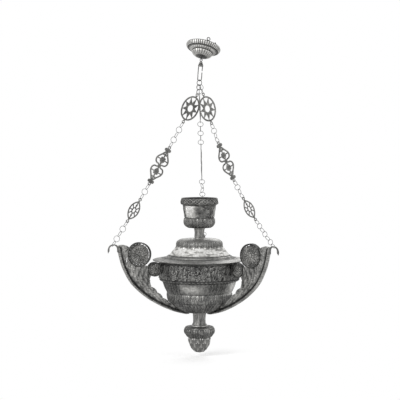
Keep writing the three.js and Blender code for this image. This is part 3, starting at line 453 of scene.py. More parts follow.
def plain_material(name, colour, roughness, scale, grain, transmission=0.0):
    """An even colour with a little grain."""
    material, tree, shader = new_material(name)
    texture = noise_node(tree, object_place(tree), scale, 4.0)
    dark, light = [c * (1 - grain) for c in colour], [min(c * (1 + grain), 1) for c in colour]
    feed(tree, shader, {
        "Base Color": color_ramp(tree, texture, [(0, dark), (1, light)]),
        "Roughness": map_range(tree, texture, roughness * 0.8, roughness * 1.2),
        "Transmission Weight": transmission,
    })
    return material


frieze_silver = silver("frieze_silver", contrast=0.55, grain=0.7)
cover_silver = silver("cover_silver", grain=0.55, patches=0.4)
cup_silver = silver("cup_silver", rough=0.62, grain=0.75)
stem_silver = silver("stem_silver", grain=0.65, stretch=(1.6, 1.6, 0.35))
bracket_silver = silver("bracket_silver", rough=0.6, grain=0.7)
plate_silver = silver("plate_silver", rough=0.6, grain=0.45, patches=0.4)
canopy_silver = silver("canopy_silver", grain=0.34)
wire_silver = silver("wire_silver", level=0.26, worked=False, grain=0.3, patches=0.36)
inner_silver = silver("inner_silver", level=0.34, worked=False)
ruby = plain_material("ruby_glass", (0.42, 0.03, 0.02), 0.08, 60, 0.06, transmission=0.9)
cotton = plain_material("wick_cotton", (0.62, 0.57, 0.46), 0.95, 1500, 0.3)


# Turned work


def turned(name, body, outside, relief, material, replaces, wall=1.5, columns=360, step=1.0,
           rounding=2, place=None, inner_tone=0.3, poles=False, crease=50):
    """A shell or, with poles, a solid, turned about Z, whose outside carries the relief."""
    columns = int(columns * FINE)
    line = soften(resample(outside, step / FINE), int(rounding * FINE))
    normals, along = line_normals(line), travelled(line)
    u = (np.arange(columns) / columns)[None, :]
    r, z = line[:, :1], line[:, 1:]
    height, tone = relief(u, along[:, None] / along[-1], r, z)
    height, tone = (np.broadcast_to(a, (len(line), columns)).copy() for a in (height, tone))
    height *= (smooth(0, 2.0, along) * smooth(0, 1.2, along[-1] - along))[:, None]
    wear = cavity(height, step / FINE, max(TAU * np.median(line[:, 0]) / columns, 0.05))
    radius, level = r + height * normals[:, :1], z + height * normals[:, 1:]
    if not poles:
        inner = (line - wall * normals)[::-int(3 * FINE) or -1]
        inner[:, 0] = np.maximum(inner[:, 0], BORE * 0.9 if line[0, 0] < BORE + 1 else 0.2)
        radius = np.concatenate([radius, np.repeat(inner[:, :1], columns, 1)])
        level = np.concatenate([level, np.repeat(inner[:, 1:], columns, 1)])
        wear = np.concatenate([wear, np.full((len(inner), columns), 0.5)])
        tone = np.concatenate([tone, np.full((len(inner), columns), inner_tone)])
    turn = TAU * u
    points = np.stack([radius * np.cos(turn), radius * np.sin(turn), level], -1).reshape(-1, 3)
    faces = [grid_faces(len(radius), columns, not poles)]
    wear, tone = wear.ravel(), tone.ravel()
    if poles:
        points = np.concatenate([points, [[0, 0, line[0, 1]], [0, 0, line[-1, 1]]]])
        faces.append(fans(len(radius), columns))
        wear, tone = np.append(wear, [0.5, 0.5]), np.append(tone, [tone[0], tone[-1]])
    if place is not None:
        points = moved(points, place)
    fields = {"wear": wear, "tone": tone}
    return make_piece(name, body, points, faces, material, replaces, fields, crease)


def plain(tone, amount=0.0):
    """A relief with no pattern but a slight unevenness from the hammer."""
    def relief(u, v, r, z):
        return amount * unevenness(u, v, 24, 12, 1), tone
    return relief


# Wire work


def tube(points, radius, sides=12, closed=False):
    """(points, [faces]) of a round wire along a line in space."""
    points = np.asarray(points, float)
    if closed:
        way = np.roll(points, -1, 0) - np.roll(points, 1, 0)
    else:
        way = np.gradient(points, axis=0)
    way /= np.linalg.norm(way, axis=1)[:, None]
    normal = np.cross(way[0], [0.3, 0.9, 0.2])
    normal /= np.linalg.norm(normal)
    normals = []
    for t in way:
        normal = normal - t * (normal @ t)
        normal /= np.linalg.norm(normal)
        normals.append(normal)
    normals = np.array(normals)
    if closed:
        seen = normals[0] - way[-1] * (normals[0] @ way[-1])
        slip = math.atan2(np.cross(normals[-1], seen) @ way[-1], normals[-1] @ seen)
        turn = (slip * np.arange(len(points)) / len(points))[:, None]
        normals = normals * np.cos(turn) + np.cross(way, normals) * np.sin(turn)
    sideways = np.cross(way, normals)
    angle = (TAU * np.arange(sides) / sides)[None, :, None]
    ring = normals[:, None] * np.cos(angle) + sideways[:, None] * np.sin(angle)
    body = (points[:, None] + ring * radius).reshape(-1, 3)
    faces = [grid_faces(len(points), sides, closed)]
    if not closed:
        bulge = radius * 0.4
        body = np.concatenate([body, points[:1] - way[:1] * bulge, points[-1:] + way[-1:] * bulge])
        faces.append(fans(len(points), sides))
    return body, faces


def wire_piece(name, body, parts, replaces, place=None):
    points, faces = merged(parts)
    if place is not None:
        points = moved(points, place)
    return make_piece(name, body, points, faces, wire_silver, replaces)


# Pierced and chased plates, in the X, Z plane, as fields that are below zero inside the plate


def d_circle(x, z, centre, radius):
    return np.hypot(x - centre[0], z - centre[1]) - radius


def d_ellipse(x, z, half_x, half_z):
    k0 = np.hypot(x / half_x, z / half_z)
    k1 = np.hypot(x / half_x ** 2, z / half_z ** 2)
    return k0 * (k0 - 1) / np.maximum(k1, 1e-6)


def d_bar(x, z, start, end, half, half_end=None):
    """A rounded bar that may taper from one half width to another."""
    (ax, az), (bx, bz) = start, end
    length = (bx - ax) ** 2 + (bz - az) ** 2
    t = np.clip(((x - ax) * (bx - ax) + (z - az) * (bz - az)) / length, 0, 1)
    width = half + ((half if half_end is None else half_end) - half) * t
    return np.hypot(x - ax - t * (bx - ax), z - az - t * (bz - az)) - width


def d_polygon(x, z, corners):
    """Distance to a closed outline."""
    corners = np.asarray(corners, float)
    nearest = np.full(x.shape, np.inf)
    inside = np.zeros(x.shape, bool)
    for (ax, az), (bx, bz) in zip(corners, np.roll(corners, -1, 0)):
        ex, ez = bx - ax, bz - az
        length = ex * ex + ez * ez
        if length < 1e-12:
            continue
        t = np.clip(((x - ax) * ex + (z - az) * ez) / length, 0, 1)
        nearest = np.minimum(nearest, (x - ax - t * ex) ** 2 + (z - az - t * ez) ** 2)
        if az != bz:
            inside ^= ((az > z) != (bz > z)) & (x < ex * (z - az) / ez + ax)
    return np.where(inside, -1, 1) * np.sqrt(nearest)


def d_join(*fields):
    return np.minimum.reduce(fields)


def d_cut(field, *holes):
    return np.maximum.reduce([field, *[-hole for hole in holes]])


def pierced(field, relief, low, high, step):
    """(points, [faces], fields) of a plate where the field is below zero, worked on both faces."""
    step = step / FINE
    x, z = np.meshgrid(np.arange(low[0], high[0] + step, step), np.arange(low[1], high[1] + step, step))
    d = field(x, z)
    gz, gx = np.gradient(d, step)
    steep = np.maximum(gx ** 2 + gz ** 2, 0.25)
    kept = d <= 0.5 * step
    # Points beside the outline are drawn onto it.
    shift = np.where(kept & (d > -0.5 * step), np.clip(d, -0.6 * step, 0.6 * step), 0) / steep
    x, z = x - shift * gx, z - shift * gz
    depth, wear, tone = relief(x, z, np.minimum(d, 0))
    near, far = slice(None, -1), slice(1, None)
    corners = [(near, near), (near, far), (far, far), (far, near)]
    held = [kept[corner] for corner in corners]
    many = sum(at.astype(int) for at in held)
    used = np.zeros(d.shape, bool)
    for corner in corners:
        used[corner] |= many >= 3
    used &= kept
    count = int(used.sum())
    number = -np.ones(d.shape, np.int64)
    number[used] = np.arange(count)
    ring = [number[corner] for corner in corners]
    quads = np.stack([n[many == 4] for n in ring], -1)
    triangles = []
    for k in range(4):
        part = (many == 3) & ~held[k]
        triangles.append(np.stack([ring[(k + m) % 4][part] for m in (1, 2, 3)], -1))
    triangles = np.concatenate(triangles)
    edges = []
    for group in (quads, triangles):
        edges += [np.stack([group[:, i], np.roll(group, -1, 1)[:, i]], -1) for i in range(group.shape[1])]
    edges = np.concatenate(edges)
    key, opposite = edges[:, 0] * count + edges[:, 1], edges[:, 1] * count + edges[:, 0]
    start, end = edges[~np.isin(key, opposite)].T
    walls = np.stack([end, start, start + count, end + count], -1)
    sheets = [np.stack([x[used], side * depth[used], z[used]], -1) for side in (-1, 1)]
    faces = [np.concatenate([quads, quads[:, ::-1] + count, walls])]
    faces.append(np.concatenate([triangles, triangles[:, ::-1] + count]))
    fields = {"wear": np.tile(wear[used], 2), "tone": np.tile(tone[used], 2)}
    return np.concatenate(sheets), faces, fields


def cast_edge(d, edge, middle, width):
    """Half thickness that rounds from the edge to the middle over the given width."""
    return edge + (middle - edge) * dome(1 - np.clip(-d / width, 0, 1))


def plate_relief(x, z, d):
    chased = np.sin(TAU * (x + 0.6 * z) / 1.9) * np.sin(TAU * (x - 0.6 * z) / 1.9)
    depth = cast_edge(d, 0.4, PLATE_THICKNESS / 2 - 0.25, 1.3) + 0.07 * chased * smooth(0.5, 1.1, -d)
    wear = np.clip(0.42 + 0.14 * chased + 0.3 * ridge(-d, 0.35, 0.35), 0, 1)
    return depth, wear, 0.45 + 0.1 * chased


def hung(x, z, spacing, *parts):
    """The joined parts of a plate, with a pierced loop to hang it by at each end."""
    loops, holes = (
        d_join(*[d_circle(x, z, (0, side * spacing / 2), radius) for side in (1, -1)])
        for radius in (LOOP, LOOP_HOLE)
    )
    return d_cut(d_join(*parts, loops), holes)


MEDALLION_RAYS = 9


def medallion(x, z):
    """A star of nine rays round an open eye, in an oval rim."""
    rim = np.abs(d_ellipse(x, z, 24.7, 34.0)) - 2.3
    tips = []
    for i in range(2 * MEDALLION_RAYS):
        half_x, half_z = (24.4, 33.7) if i % 2 else (13.4, 16.6)
        angle = TAU * (i / 2) / MEDALLION_RAYS
        tips.append((half_x * math.cos(angle), half_z * math.sin(angle)))
    spokes = [d_bar(x, z, (0, 0), tip, 3.4, 1.2) for tip in tips[1::2]]
    necks = [d_bar(x, z, (0, side * 34), (0, side * 41), 2.4) for side in (1, -1)]
    body = hung(x, z, MEDALLION_HOLES, rim, d_polygon(x, z, tips), *spokes, *necks)
    return d_cut(body, d_ellipse(x, z, 7.6, 9.6))


HEART_EDGE = [(2.4, 47), (6.4, 41.5), (10.8, 34.5), (15.6, 28), (19.2, 21.8), (20.5, 15.2), (18.6, 8.2),
              (13.6, 3.4), (8.4, 2.6), (5.2, 1.6)]
HEART_BAND = 2.2
HEART_KNOB = (0, 19.3)
TREFOIL_DISCS = [((5.4, 49.6), 4.8), ((0, 48.6), 4.6)]
HEART_DISCS = [(HEART_KNOB, 5.4), ((4.0, 23.2), 3.6), ((4.0, 15.4), 3.6), ((5.0, 34.4), 2.6)]
HEART_BARS = [
    ((0, 50), (0, 55), 3.0), (HEART_KNOB, (18, 18.6), 1.8), ((0, 0), (0, 45), 2.0),
    ((0, 34.4), (4.6, 34.4), 1.9), ((0, 31), (0, 37), 2.2), ((0, 8.6), (3.4, 10.2), 1.3),
]


def heart_plate(x, z):
    """Two hearts joined at the waist, each with a knob on stems, and a trefoil at each end."""
    right = spline(HEART_EDGE, 48)
    quarters = [right, (right * (1, -1))[::-1], right * (-1, -1), (right * (-1, 1))[::-1]]
    edge = d_polygon(x, z, np.concatenate(quarters))
    side, up = np.abs(x), np.abs(z)
    parts = [d_circle(side, up, *disc) for disc in TREFOIL_DISCS + HEART_DISCS]
    parts += [d_bar(side, up, *bar) for bar in HEART_BARS]
    return hung(x, z, HEARTS_HOLES, np.abs(edge + HEART_BAND) - HEART_BAND, *parts)


OVAL_HALF, OVAL_WIDTH, OVAL_BAND = 29.5, 16, 1.85
OVAL_KNOBS = (0, 15.5)
OVAL_BARS = [
    ((4.4, 0), (14, 0), 1.5), ((0, 8), (0, 27), 1.6), ((0, 27), (0, 32), 2.3),
    ((4.2, 5), (10.4, 13.5), 1.5),
]


def oval_plate(x, z):
    """A pointed oval with a small oval ring held by spokes."""
    radius = (OVAL_HALF ** 2 + OVAL_WIDTH ** 2) / (2 * OVAL_WIDTH)
    side, up = np.abs(x), np.abs(z)
    edge = np.hypot(side + radius - OVAL_WIDTH, up) - radius
    parts = [np.abs(edge + OVAL_BAND) - OVAL_BAND, np.abs(d_ellipse(x, z, 5.0, 8.2)) - 1.6]
    parts += [d_bar(side, up, *bar) for bar in OVAL_BARS]
    return hung(x, z, ALMOND_HOLES, *parts, d_circle(side, up, OVAL_KNOBS, 2.8))


# Canopy

canopy_axis = Vector((
    math.sin(CANOPY_LEAN) * math.cos(CANOPY_LEAN_TO),
    math.sin(CANOPY_LEAN) * math.sin(CANOPY_LEAN_TO),
    math.cos(CANOPY_LEAN),
))
APEX_DROP = STAPLE_HEIGHT + PLATE_TOP / canopy_axis.z
canopy_turn = Vector((0, 0, 1)).rotation_difference(canopy_axis).to_matrix().to_4x4()
canopy_place = Matrix.Translation((0, 0, -APEX_DROP)) @ canopy_turn
PIVOT_Z = -APEX_DROP - EYE_DROP
RIM_FLUTES, MIDDLE_FLUTES, DOME_FLUTES = 48, 34, 24


def canopy_relief(u, v, r, z):
    """Three rings of flutes, from the dome out to the rim, with plain lines between them."""
    rim = between(z, 23.2, 32.4, 0.7) * np.abs(np.cos(math.pi * RIM_FLUTES * u)) ** 0.7
    middle = between(z, 16.4, 20.6, 0.5) * dome(cells(u, MIDDLE_FLUTES)[0])
    x, _ = cells(u, DOME_FLUTES)
    crown = between(z, 2.4, 14.0, 0.9) * (dome(x) + 0.35 * ridge(x, 0, 0.2) * ridge(z, 9, 4))
    lines = ridges(z, (22.4, 1, 0.5), (15.4, 1, 0.45), (33, 1, 0.8))
    height = 1.0 * rim + 0.8 * middle + 0.95 * crown - 0.55 * lines + 0.3 * unevenness(u, v, 60, 30, 11)
    # The tone darkens round the apex, below z 3.5, where the eye's shank leaves the underside, as painted
    # shade.
    tone = 0.57 + 0.12 * rim + 0.2 * middle + 0.18 * crown - 0.35 * lines - 0.25 * smooth(3.5, 1.0, z)
    return height, tone


canopy_profile = [
    (1.6, 0), (6, 0), (12, 1.2), (19, 3.4), (24, 6.4), (27.2, 10.5), (28.5, 15), (30, 16.6), (34.5, 18),
    (35.5, 19.6), (37.5, 21.4), (42.5, 22.4), (45.5, 25), (47.5, 29), (48, 32), (47.4, 34),
]
back_profile = [
    (0.4, 34.3), (PLATE_RADIUS - 0.6, 34.3), (PLATE_RADIUS, 34.9), (PLATE_RADIUS - 0.6, PLATE_TOP),
    (0.4, PLATE_TOP),
]
turned("canopy_dome", "canopy", canopy_profile, canopy_relief, canopy_silver, ["canopy_shell"],
       wall=1.2, columns=576, step=0.5, place=canopy_place)
turned("canopy_back", "canopy", back_profile, plain(0.42, 0.12), canopy_silver,
       ["canopy_back_plate"], columns=144, place=canopy_place, poles=True)

staple_top = STAPLE_WIRE - STAPLE_RADIUS
staple = ring_line(STAPLE_RADIUS, STAPLE_RADIUS, 48)[:25] + (0, 0, staple_top)
slope_drop = math.tan(CANOPY_LEAN) * math.cos(CANOPY_LEAN_TO) * STAPLE_RADIUS
feet = [[[side * STAPLE_RADIUS, 0, 0.2 - STAPLE_HEIGHT - side * slope_drop]] for side in (1, -1)]
staple = resample(np.concatenate([feet[0], staple, feet[1]]), 0.7)
wire_piece("hanging_loop", "canopy", [tube(staple, STAPLE_WIRE, 16)], ["hanging_staple"])

eye_centre = canopy_place.translation + Vector((0, 0, EYE_RADIUS - EYE_DROP))
eye_place = Matrix.Translation(eye_centre) @ Matrix.Rotation(math.pi / 2, 4, "Z")
eye_ring = moved(ring_line(EYE_RADIUS, EYE_RADIUS, 32), eye_place)
shank = moved([(0, 0, z) for z in (2 * EYE_RADIUS - EYE_DROP, -0.8, 3, 6.4)], canopy_place)
eye_parts = [tube(eye_ring, EYE_WIRE, 12, True), tube(shank, EYE_SHANK, 16)]
wire_piece("canopy_lower_eye", "canopy", eye_parts, ["canopy_eye"])


def on_plate(out, turn):
    """The place on the canopy's back plate at a distance and a bearing from its middle."""
    return canopy_place @ Matrix.Translation((out * math.cos(turn), out * math.sin(turn), 0))


plate_seat = PLATE_TOP + SEAT
rim_place = on_plate(PLATE_RADIUS - 3 * RIM_EYE_WIRE, RIM_EYE_BEARING)
rim_place = rim_place @ Matrix.Rotation(RIM_EYE_BEARING + math.pi / 2, 4, "Z")
rim_ring = ring_line(RIM_EYE_RADIUS, RIM_EYE_RADIUS) + (0, 0, plate_seat + RIM_EYE_RADIUS + 0.95)
rim_foot = [(x, 0, plate_seat + rise) for x, rise in ((-2.2, 0.6), (-1, 0.7), (1, 0.7), (2.2, 0.6))]
rim_parts = [tube(rim_ring, RIM_EYE_WIRE, 12, True), tube(rim_foot, 0.75, 12)]
wire_piece("canopy_side_eye", "canopy", rim_parts, ["canopy_rim_eye"], place=rim_place)
stud_place = on_plate(STUD_OUT, STUD_BEARING) @ Matrix.Translation((0, 0, plate_seat))
stud_profile = [(0.1, 0), (2.3, 0), (2.2, 1.6), (1.5, 2.8), (0.1, 3.2)]
turned("canopy_side_stud", "canopy", stud_profile, plain(0.5), canopy_silver,
       ["canopy_rim_stud"], columns=32, step=0.3, place=stud_place, poles=True)

# Hook and gathering ring

hook_lean = math.asin(HOOK_LEAN / HOOK_LENGTH)
hook_place = Matrix.Translation((0, 0, PIVOT_Z)) @ Matrix.Rotation(hook_lean, 4, "Y")
hook_eye_z = EYE_WIRE + HOOK_EYE_WIRE + SEAT - HOOK_EYE
neck, spread = hook_eye_z - HOOK_EYE, 3 - FERRULE_BOTTOM
shoulder = [(0.6 * LEG_SPREAD, (neck + spread) / 2 - 1), (LEG_SPREAD, spread - 2)]
bend = [
    (LEG_SPREAD * math.cos(a), LEG_SPREAD - HOOK_LENGTH + LEG_SPREAD * math.sin(a))
    for a in np.linspace(math.pi, TAU, 9)
]
throat = [(0, neck), (0, neck - 3)]
long_leg = [
    *throat, *[(-x, z) for x, z in shoulder], (-LEG_SPREAD - 0.5, -HOOK_LENGTH * 0.55), *bend,
    (LEG_SPREAD + 0.3, (-HOOK_LENGTH - HOOK_GAP_BOTTOM) / 2), (LEG_SPREAD, -HOOK_GAP_BOTTOM),
]
short_leg = [*throat, *shoulder, (LEG_SPREAD, -HOOK_GAP_TOP)]
hook_parts = [tube(ring_line(HOOK_EYE, HOOK_EYE) + (0, 0, hook_eye_z), HOOK_EYE_WIRE, 12, True)]
for leg in (long_leg, short_leg):
    line = resample(spline(leg, 80), 1.0)
    hook_parts.append(tube(np.stack([line[:, 0], 0 * line[:, 0], line[:, 1]], -1), HOOK_WIRE, 14))
wire_piece("hook_wires", "hook", hook_parts, ["hook_wire"], place=hook_place)


def ferrule_relief(u, v, r, z):
    bands = ridge(np.mod(-z - FERRULE_TOP, 4.6), 2.3, 1.0)
    return 0.6 * bands + 0.16 * wave(18 * u + z / 2.2), 0.36 + 0.2 * bands


ferrule_profile = [(0.1, -FERRULE_BOTTOM), (5.4, -FERRULE_BOTTOM), (6.9, -18.4), (7.0, -16.6), (3.3, -6.4),
                   (2.6, -5.5), (0.1, -FERRULE_TOP)]
turned("hook_sleeve", "hook", ferrule_profile, ferrule_relief, canopy_silver,
       ["hook_ferrule"], columns=128, step=0.35, place=hook_place, poles=True)

HOOK_BOTTOM_Z = PIVOT_Z - HOOK_LENGTH * math.cos(hook_lean)
GATHER_Z = HOOK_BOTTOM_Z + HOOK_WIRE + GATHER_WIRE + SEAT + SKEW - GATHER_DROP
gather_place = Matrix.Translation((LAMP_X, 0, GATHER_Z)) @ Matrix.Rotation(GATHER_YAW, 4, "Z")
gather = tube(moved(ring_line(GATHER_HALF, GATHER_DROP, 64), gather_place), GATHER_WIRE, 14, True)
wire_piece("gathering_link", "gathering_ring", [gather], ["gathering_ring"])

# Chains, laid out as in the CAD


def knee(width):
    return width / 2 * math.tan(math.pi / RING_SEGMENTS)


PLATE_GAP = SEAT + RING_BITE / 2 + knee(PLATE_THICKNESS)
HUB_GAP = SEAT + RING_BITE / 2 + knee(PLATE_THICKNESS * 1.6)
HOOK_GAP = SEAT + RING_BITE / 2 + knee(ARCH_WIDTH)
CHAIN_END_R = ARCH[0] + (ARCH_RADIUS - ARCH_THICKNESS) * math.cos(ARCH_BEARING)
CHAIN_END_HEIGHT = ARCH[1] + (ARCH_RADIUS - ARCH_THICKNESS) * math.sin(ARCH_BEARING) - HOOK_GAP
PLATES = [("medallion", MEDALLION_HOLES), ("heart_plate", HEARTS_HOLES), ("oval_plate", ALMOND_HOLES)]


def chain_links(chain):
    """(kind, length) of each plate, gap and ring from the hub to the bracket."""
    links = []
    for i, (name, holes) in enumerate(PLATES):
        links += [(name, holes + 2 * LOOP_HOLE), ("gap", -PLATE_GAP)]
        links += [("ring", chain["reach"])] * chain["rings"][i]
        if i < len(PLATES) - 1:
            links.append(("gap", -PLATE_GAP))
    return links


def hang_path(links, start, first, last):
    """The ends of the links as (r, z), when the angle from plumb goes from the first to the last."""
    total, points, run = sum(length for _, length in links), [start], 0.0
    for _, length in links:
        angle = first + (last - first) * (run + length / 2) / total
        r, z = points[-1]
        points.append((r + length * math.sin(angle), z - length * math.cos(angle)))
        run += length
    return points


def taut_path(links, start):
    """The path with the given bend that ends over the bracket's arch."""
    low, high = 0.0, math.pi / 2
    for _ in range(60):
        mean = (low + high) / 2
        if hang_path(links, start, mean - LEFT_BEND / 2, mean + LEFT_BEND / 2)[-1][0] < CHAIN_END_R:
            low = mean
        else:
            high = mean
    return hang_path(links, start, low - LEFT_BEND / 2, low + LEFT_BEND / 2)


def slack_path(links, start, end):
    """The path from start to end, whose two angles are found by Newton's method."""
    def miss(a, b):
        last = hang_path(links, start, a, b)[-1]
        return np.array([last[0] - end[0], last[1] - end[1]])
    at, step = np.array([0.3, 0.8]), 1e-6
    for _ in range(40):
        base = miss(*at)
        slopes = [(miss(at[0] + step, at[1]) - base) / step, (miss(at[0], at[1] + step) - base) / step]
        at = at - np.linalg.solve(np.stack(slopes, -1), base)
    return hang_path(links, start, *at)


def link_frame(above, below, side, twist=0.0):
    """The place of a link between two points, with Z along it and Y to the given side."""
    z = (above - below).normalized()
    y = Matrix.Rotation(twist, 3, z) @ (side - z * side.dot(z)).normalized()
    turn = Matrix((y.cross(z), y, z)).transposed().to_4x4()
    return Matrix.Translation((above + below) / 2 + Vector((LAMP_X, 0, 0))) @ turn


def hub_ends(chain):
    """(direction outwards, top of the hub rings, bottom of them)"""
    a = chain["azimuth"] * RAD
    out = Vector((math.cos(a), -math.sin(a), 0))
    offset = chain["place"] * HUB_SPACING
    fall = GATHER_DROP * math.sqrt(1 - (offset / GATHER_HALF) ** 2)
    height = GATHER_Z - fall + GATHER_WIRE + SEAT + knee(2 * GATHER_WIRE) + RING_BITE / 2
    top = Vector((offset * math.cos(GATHER_YAW), offset * math.sin(GATHER_YAW), height))
    bottom = out * chain["start"]
    flat = (bottom - Vector((top.x, top.y, 0))).length
    bottom.z = top.z - math.sqrt((2 * HUB_REACH - HUB_GAP) ** 2 - flat ** 2)
    return out, top, bottom


def ring_tubes(points, side, reach, twists):
    """A ring between each two neighbouring points, each with its own twist."""
    radius = reach / 2 - RING_BITE / 2 + RING_WIRE * 0.92
    places = [link_frame(points[i], points[i + 1], side, twist * RAD) for i, twist in enumerate(twists)]
    return [tube(moved(ring_line(radius, radius), place), RING_WIRE, 10, True) for place in places]


plate_shapes = {
    "medallion": pierced(medallion, plate_relief, (-31, -52), (31, 52), 0.55),
    "heart_plate": pierced(heart_plate, plate_relief, (-25, -67), (25, 67), 0.55),
    "oval_plate": pierced(oval_plate, plate_relief, (-20, -43), (20, 43), 0.5),
}
for chain in CHAINS:
    out, hub_top, hub_bottom = hub_ends(chain)
    side = Vector((0, 0, 1)).cross(out)
    links = chain_links(chain)
    start = (chain["start"], hub_bottom.z)
    if chain["name"] == "left":
        path = taut_path(links, start)
    else:
        path = slack_path(links, start, (CHAIN_END_R, LAMP_Z + CHAIN_END_HEIGHT))
    points = [Vector((out.x * r, out.y * r, z)) for r, z in path]
    hub_down = (hub_bottom - hub_top).normalized()
    hub = [hub_top + hub_down * (i * HUB_REACH) for i in range(3)]
    across = (GATHER_YAW - math.atan2(side.y, side.x)) / RAD
    hub_rings = ring_tubes(hub, side, HUB_REACH, [across, chain["meets"] + SWIRL / RAD])
    suffix = "_" + chain["name"]
    wire_piece("hub_links" + suffix, "lamp", hub_rings, ["hub_rings" + suffix])
    at, run = 0, 0
    while at < len(links):
        kind = links[at][0]
        if kind in plate_shapes:
            place = link_frame(points[at], points[at + 1], side, SWIRL if kind == "medallion" else 0.0)
            shape, faces, fields = plate_shapes[kind]
            make_piece(kind + "_work" + suffix, kind + suffix, moved(shape, place), faces, plate_silver,
                       [kind + suffix], fields, 55)
        elif kind == "ring":
            count = chain["rings"][run]
            turn_each = 180 * round((count - 1) / 2) / (count - 1)
            twists = [90 + turn_each * i for i in range(count)]
            rings = ring_tubes(points[at:at + count + 1], side, chain["reach"], twists)
            level = ("upper", "middle", "lower")[run]
            wire_piece(level + "_links" + suffix, "lamp", rings, [level + "_rings" + suffix])
            run += 1
            at += count - 1
        at += 1

# Bowl, cover, stems, cup and finial


def lamp_at(height):
    return Matrix.Translation((LAMP_X, 0, LAMP_Z + height))


def from_bearing(u, middle):
    """Degrees to the right of a bearing, which is counted from the front of the lamp."""
    bearing = (u * 360 + 90 + 180) % 360 - 180
    return (bearing - middle + 180) % 360 - 180


def foliage(u, v, z, low, high, count, seed, hanging=False):
    """Crowded leaves in two staggered rows, a little crooked, as hand work is."""
    lean = unevenness(u, v, count, 3, seed) * 0.9 / count
    swell = 0.8 + 0.5 * unevenness(u, v, count, 2, seed + 5)
    y = (high - z) / (high - low) if hanging else (z - low) / (high - low)
    first, n = cells(u + lean, count)
    second, _ = cells(u + lean, count, 0.5)
    outer = leaf(first / swell / 0.9, y * (0.9 + 0.25 * np.sin(2.4 * n)), 4)
    return np.maximum(outer, 0.75 * leaf(second / swell / 0.7, y * 1.15 - 0.05, 3))


BOWL_LEAVES = 30


def two_rows(u, v, z, seed, first, second):
    """Two rows of leaves, each between (low, high), that overlap and stagger."""
    below = foliage(u, v, z, *first, BOWL_LEAVES, seed)
    above = foliage(u + 0.5 / BOWL_LEAVES, v, z, *second, BOWL_LEAVES, seed + 6)
    return np.maximum(below, above)


FOOT, BAND, NECK, FRIEZE, BOWL_RIM = (3, 29), (31, 55), (58, 87), (97, 139), (140, 144)
PLAIN_PANELS = (-8, 112, -128)
FRIEZE_GROOVE, NECK_GROOVE = 95.4, 87.4


def bowl_relief(u, v, r, z):
    """Tall leaves from the foot, dense ones over them, plain panels, a roped moulding and the frieze."""
    panel_off = np.minimum.reduce([np.abs(from_bearing(u, m)) for m in PLAIN_PANELS])
    low = between(z, *FOOT, 1.5)
    band = between(z, *BAND, 1.0)
    neck = between(z, *NECK, 1.0)
    frieze = between(z, *FRIEZE, 0.8)
    # Beside each bracket, leaves climb the neck.
    beside = smooth(23, 27, panel_off)
    climb = two_rows(u, v, z, 83, (57, 74), (70, 88))
    sprays = two_rows(u, v, z, 73, (30.5, 45), (41, 56))
    dents = unevenness(u, v, 40, 30, 91)
    rope = between(z, 88.6, 93.4, 0.5) * wave(60 * u + z / 6)
    # Acanthus in two rows, with curls between them and small fluted fans under them.
    hanging = foliage(u, v, z, 116, 140, 20, 97, hanging=True)
    rising = foliage(u + 0.25 / 20, v, z, 97, 120, 22, 101)
    x, n = cells(u + 0.01 * np.sin(9 * TAU * u), 21, 0.3)
    curls = volute(x / 0.62, (z - 119 - 2.5 * np.sin(3.1 * n)) / 8.5)
    x, _ = cells(u, 7, 0.46)
    inside = (np.abs(x) < 0.17) * between(z, 98, 112 - 30 * x ** 2, 0.6)
    fans_cut = inside * (0.25 + 0.75 * np.abs(np.cos(math.pi * 2.5 * x / 0.17)))
    worked = np.maximum.reduce([hanging, rising, 0.85 * curls]) * (1 - inside) + 0.85 * fans_cut
    holes = smooth(0.56, 0.65, noise(u, v, 84, 46, 103, 2)) * frieze * (1 - inside)
    rim = between(z, *BOWL_RIM, 0.5) * (0.6 + 0.4 * beads(u * 140))
    height = (
        1.6 * low * foliage(u, v, z, 2, 30, 20, 71) + 1.4 * band * sprays
        + neck * (1.3 * climb * beside + 0.35 * dents) + 1.0 * rope + frieze * 1.8 * worked - 0.6 * holes
        + 0.7 * rim + 0.4 * unevenness(u, v, 150, 90, 21)
        - ridges(z, (FRIEZE_GROOVE, 1.0, 0.7), (NECK_GROOVE, 0.9, 0.6), (56.4, 0.6, 0.6), (30, 0.5, 0.6))
    )
    # Painted light: the patch on the neck at bearing 68 is a painted highlight, the soft patch at bearing
    # -14 is a painted pool of light, and centre makes the band of sprays lighter where it faces the front,
    # as painted light.
    painted_highlight_patch = ridge(from_bearing(u, 68), 0, 17) * between(z, 52, 89, 3)
    soft_light = ridge(from_bearing(u, -14), 0, 17) * ridge(z, 72, 11)
    centre = ridge(from_bearing(u, -4), 0, 22)
    # The tone also darkens from z 136 to 141, just under the cover's overhang, as painted shade.
    tone = (
        0.37 + 0.13 * neck * (1 - beside) + 0.3 * soft_light + 0.46 * painted_highlight_patch
        + 0.13 * band * centre + 0.05 * low - 0.03 * neck * beside * (1 - painted_highlight_patch) - 0.1 * holes
        - ridges(z, (FRIEZE_GROOVE, 0.2, 1.2), (NECK_GROOVE, 0.16, 1.2)) + 0.07 * fans_cut
        - 0.1 * smooth(136, 141, z) + 0.1 * dents * neck
    )
    return height, tone


bowl_profile = [
    (BORE, 0), (40, 0), (48, 2.6), (55, 7), (63, 11.2), (70, 16), (77.6, 21), (84, 27), (88.6, 34),
    (90.8, 43), (91.4, 50), (90.6, 56), (93, 62), (96, 68), (98.6, 74), (101, 81), (103, 87), (106, 89),
    (110.5, 91), (112.8, 93.4), (113.5, 97), (113.5, 140), (113.1, 143), (112, 146),
]
turned("bowl_work", "lamp", bowl_profile, bowl_relief, frieze_silver, ["bowl_shell"],
       wall=1.6, columns=456, step=1.35, place=lamp_at(0), inner_tone=0.4)


SLOPE_RADII, TOP_RADII = (95.5, 129.5), (10, 54)
FLARE, FEATHERS = (16.5, 38.5), (36.5, 53.5)
FLARE_GROOVE, STEP_GROOVE = 14.6, 7.4


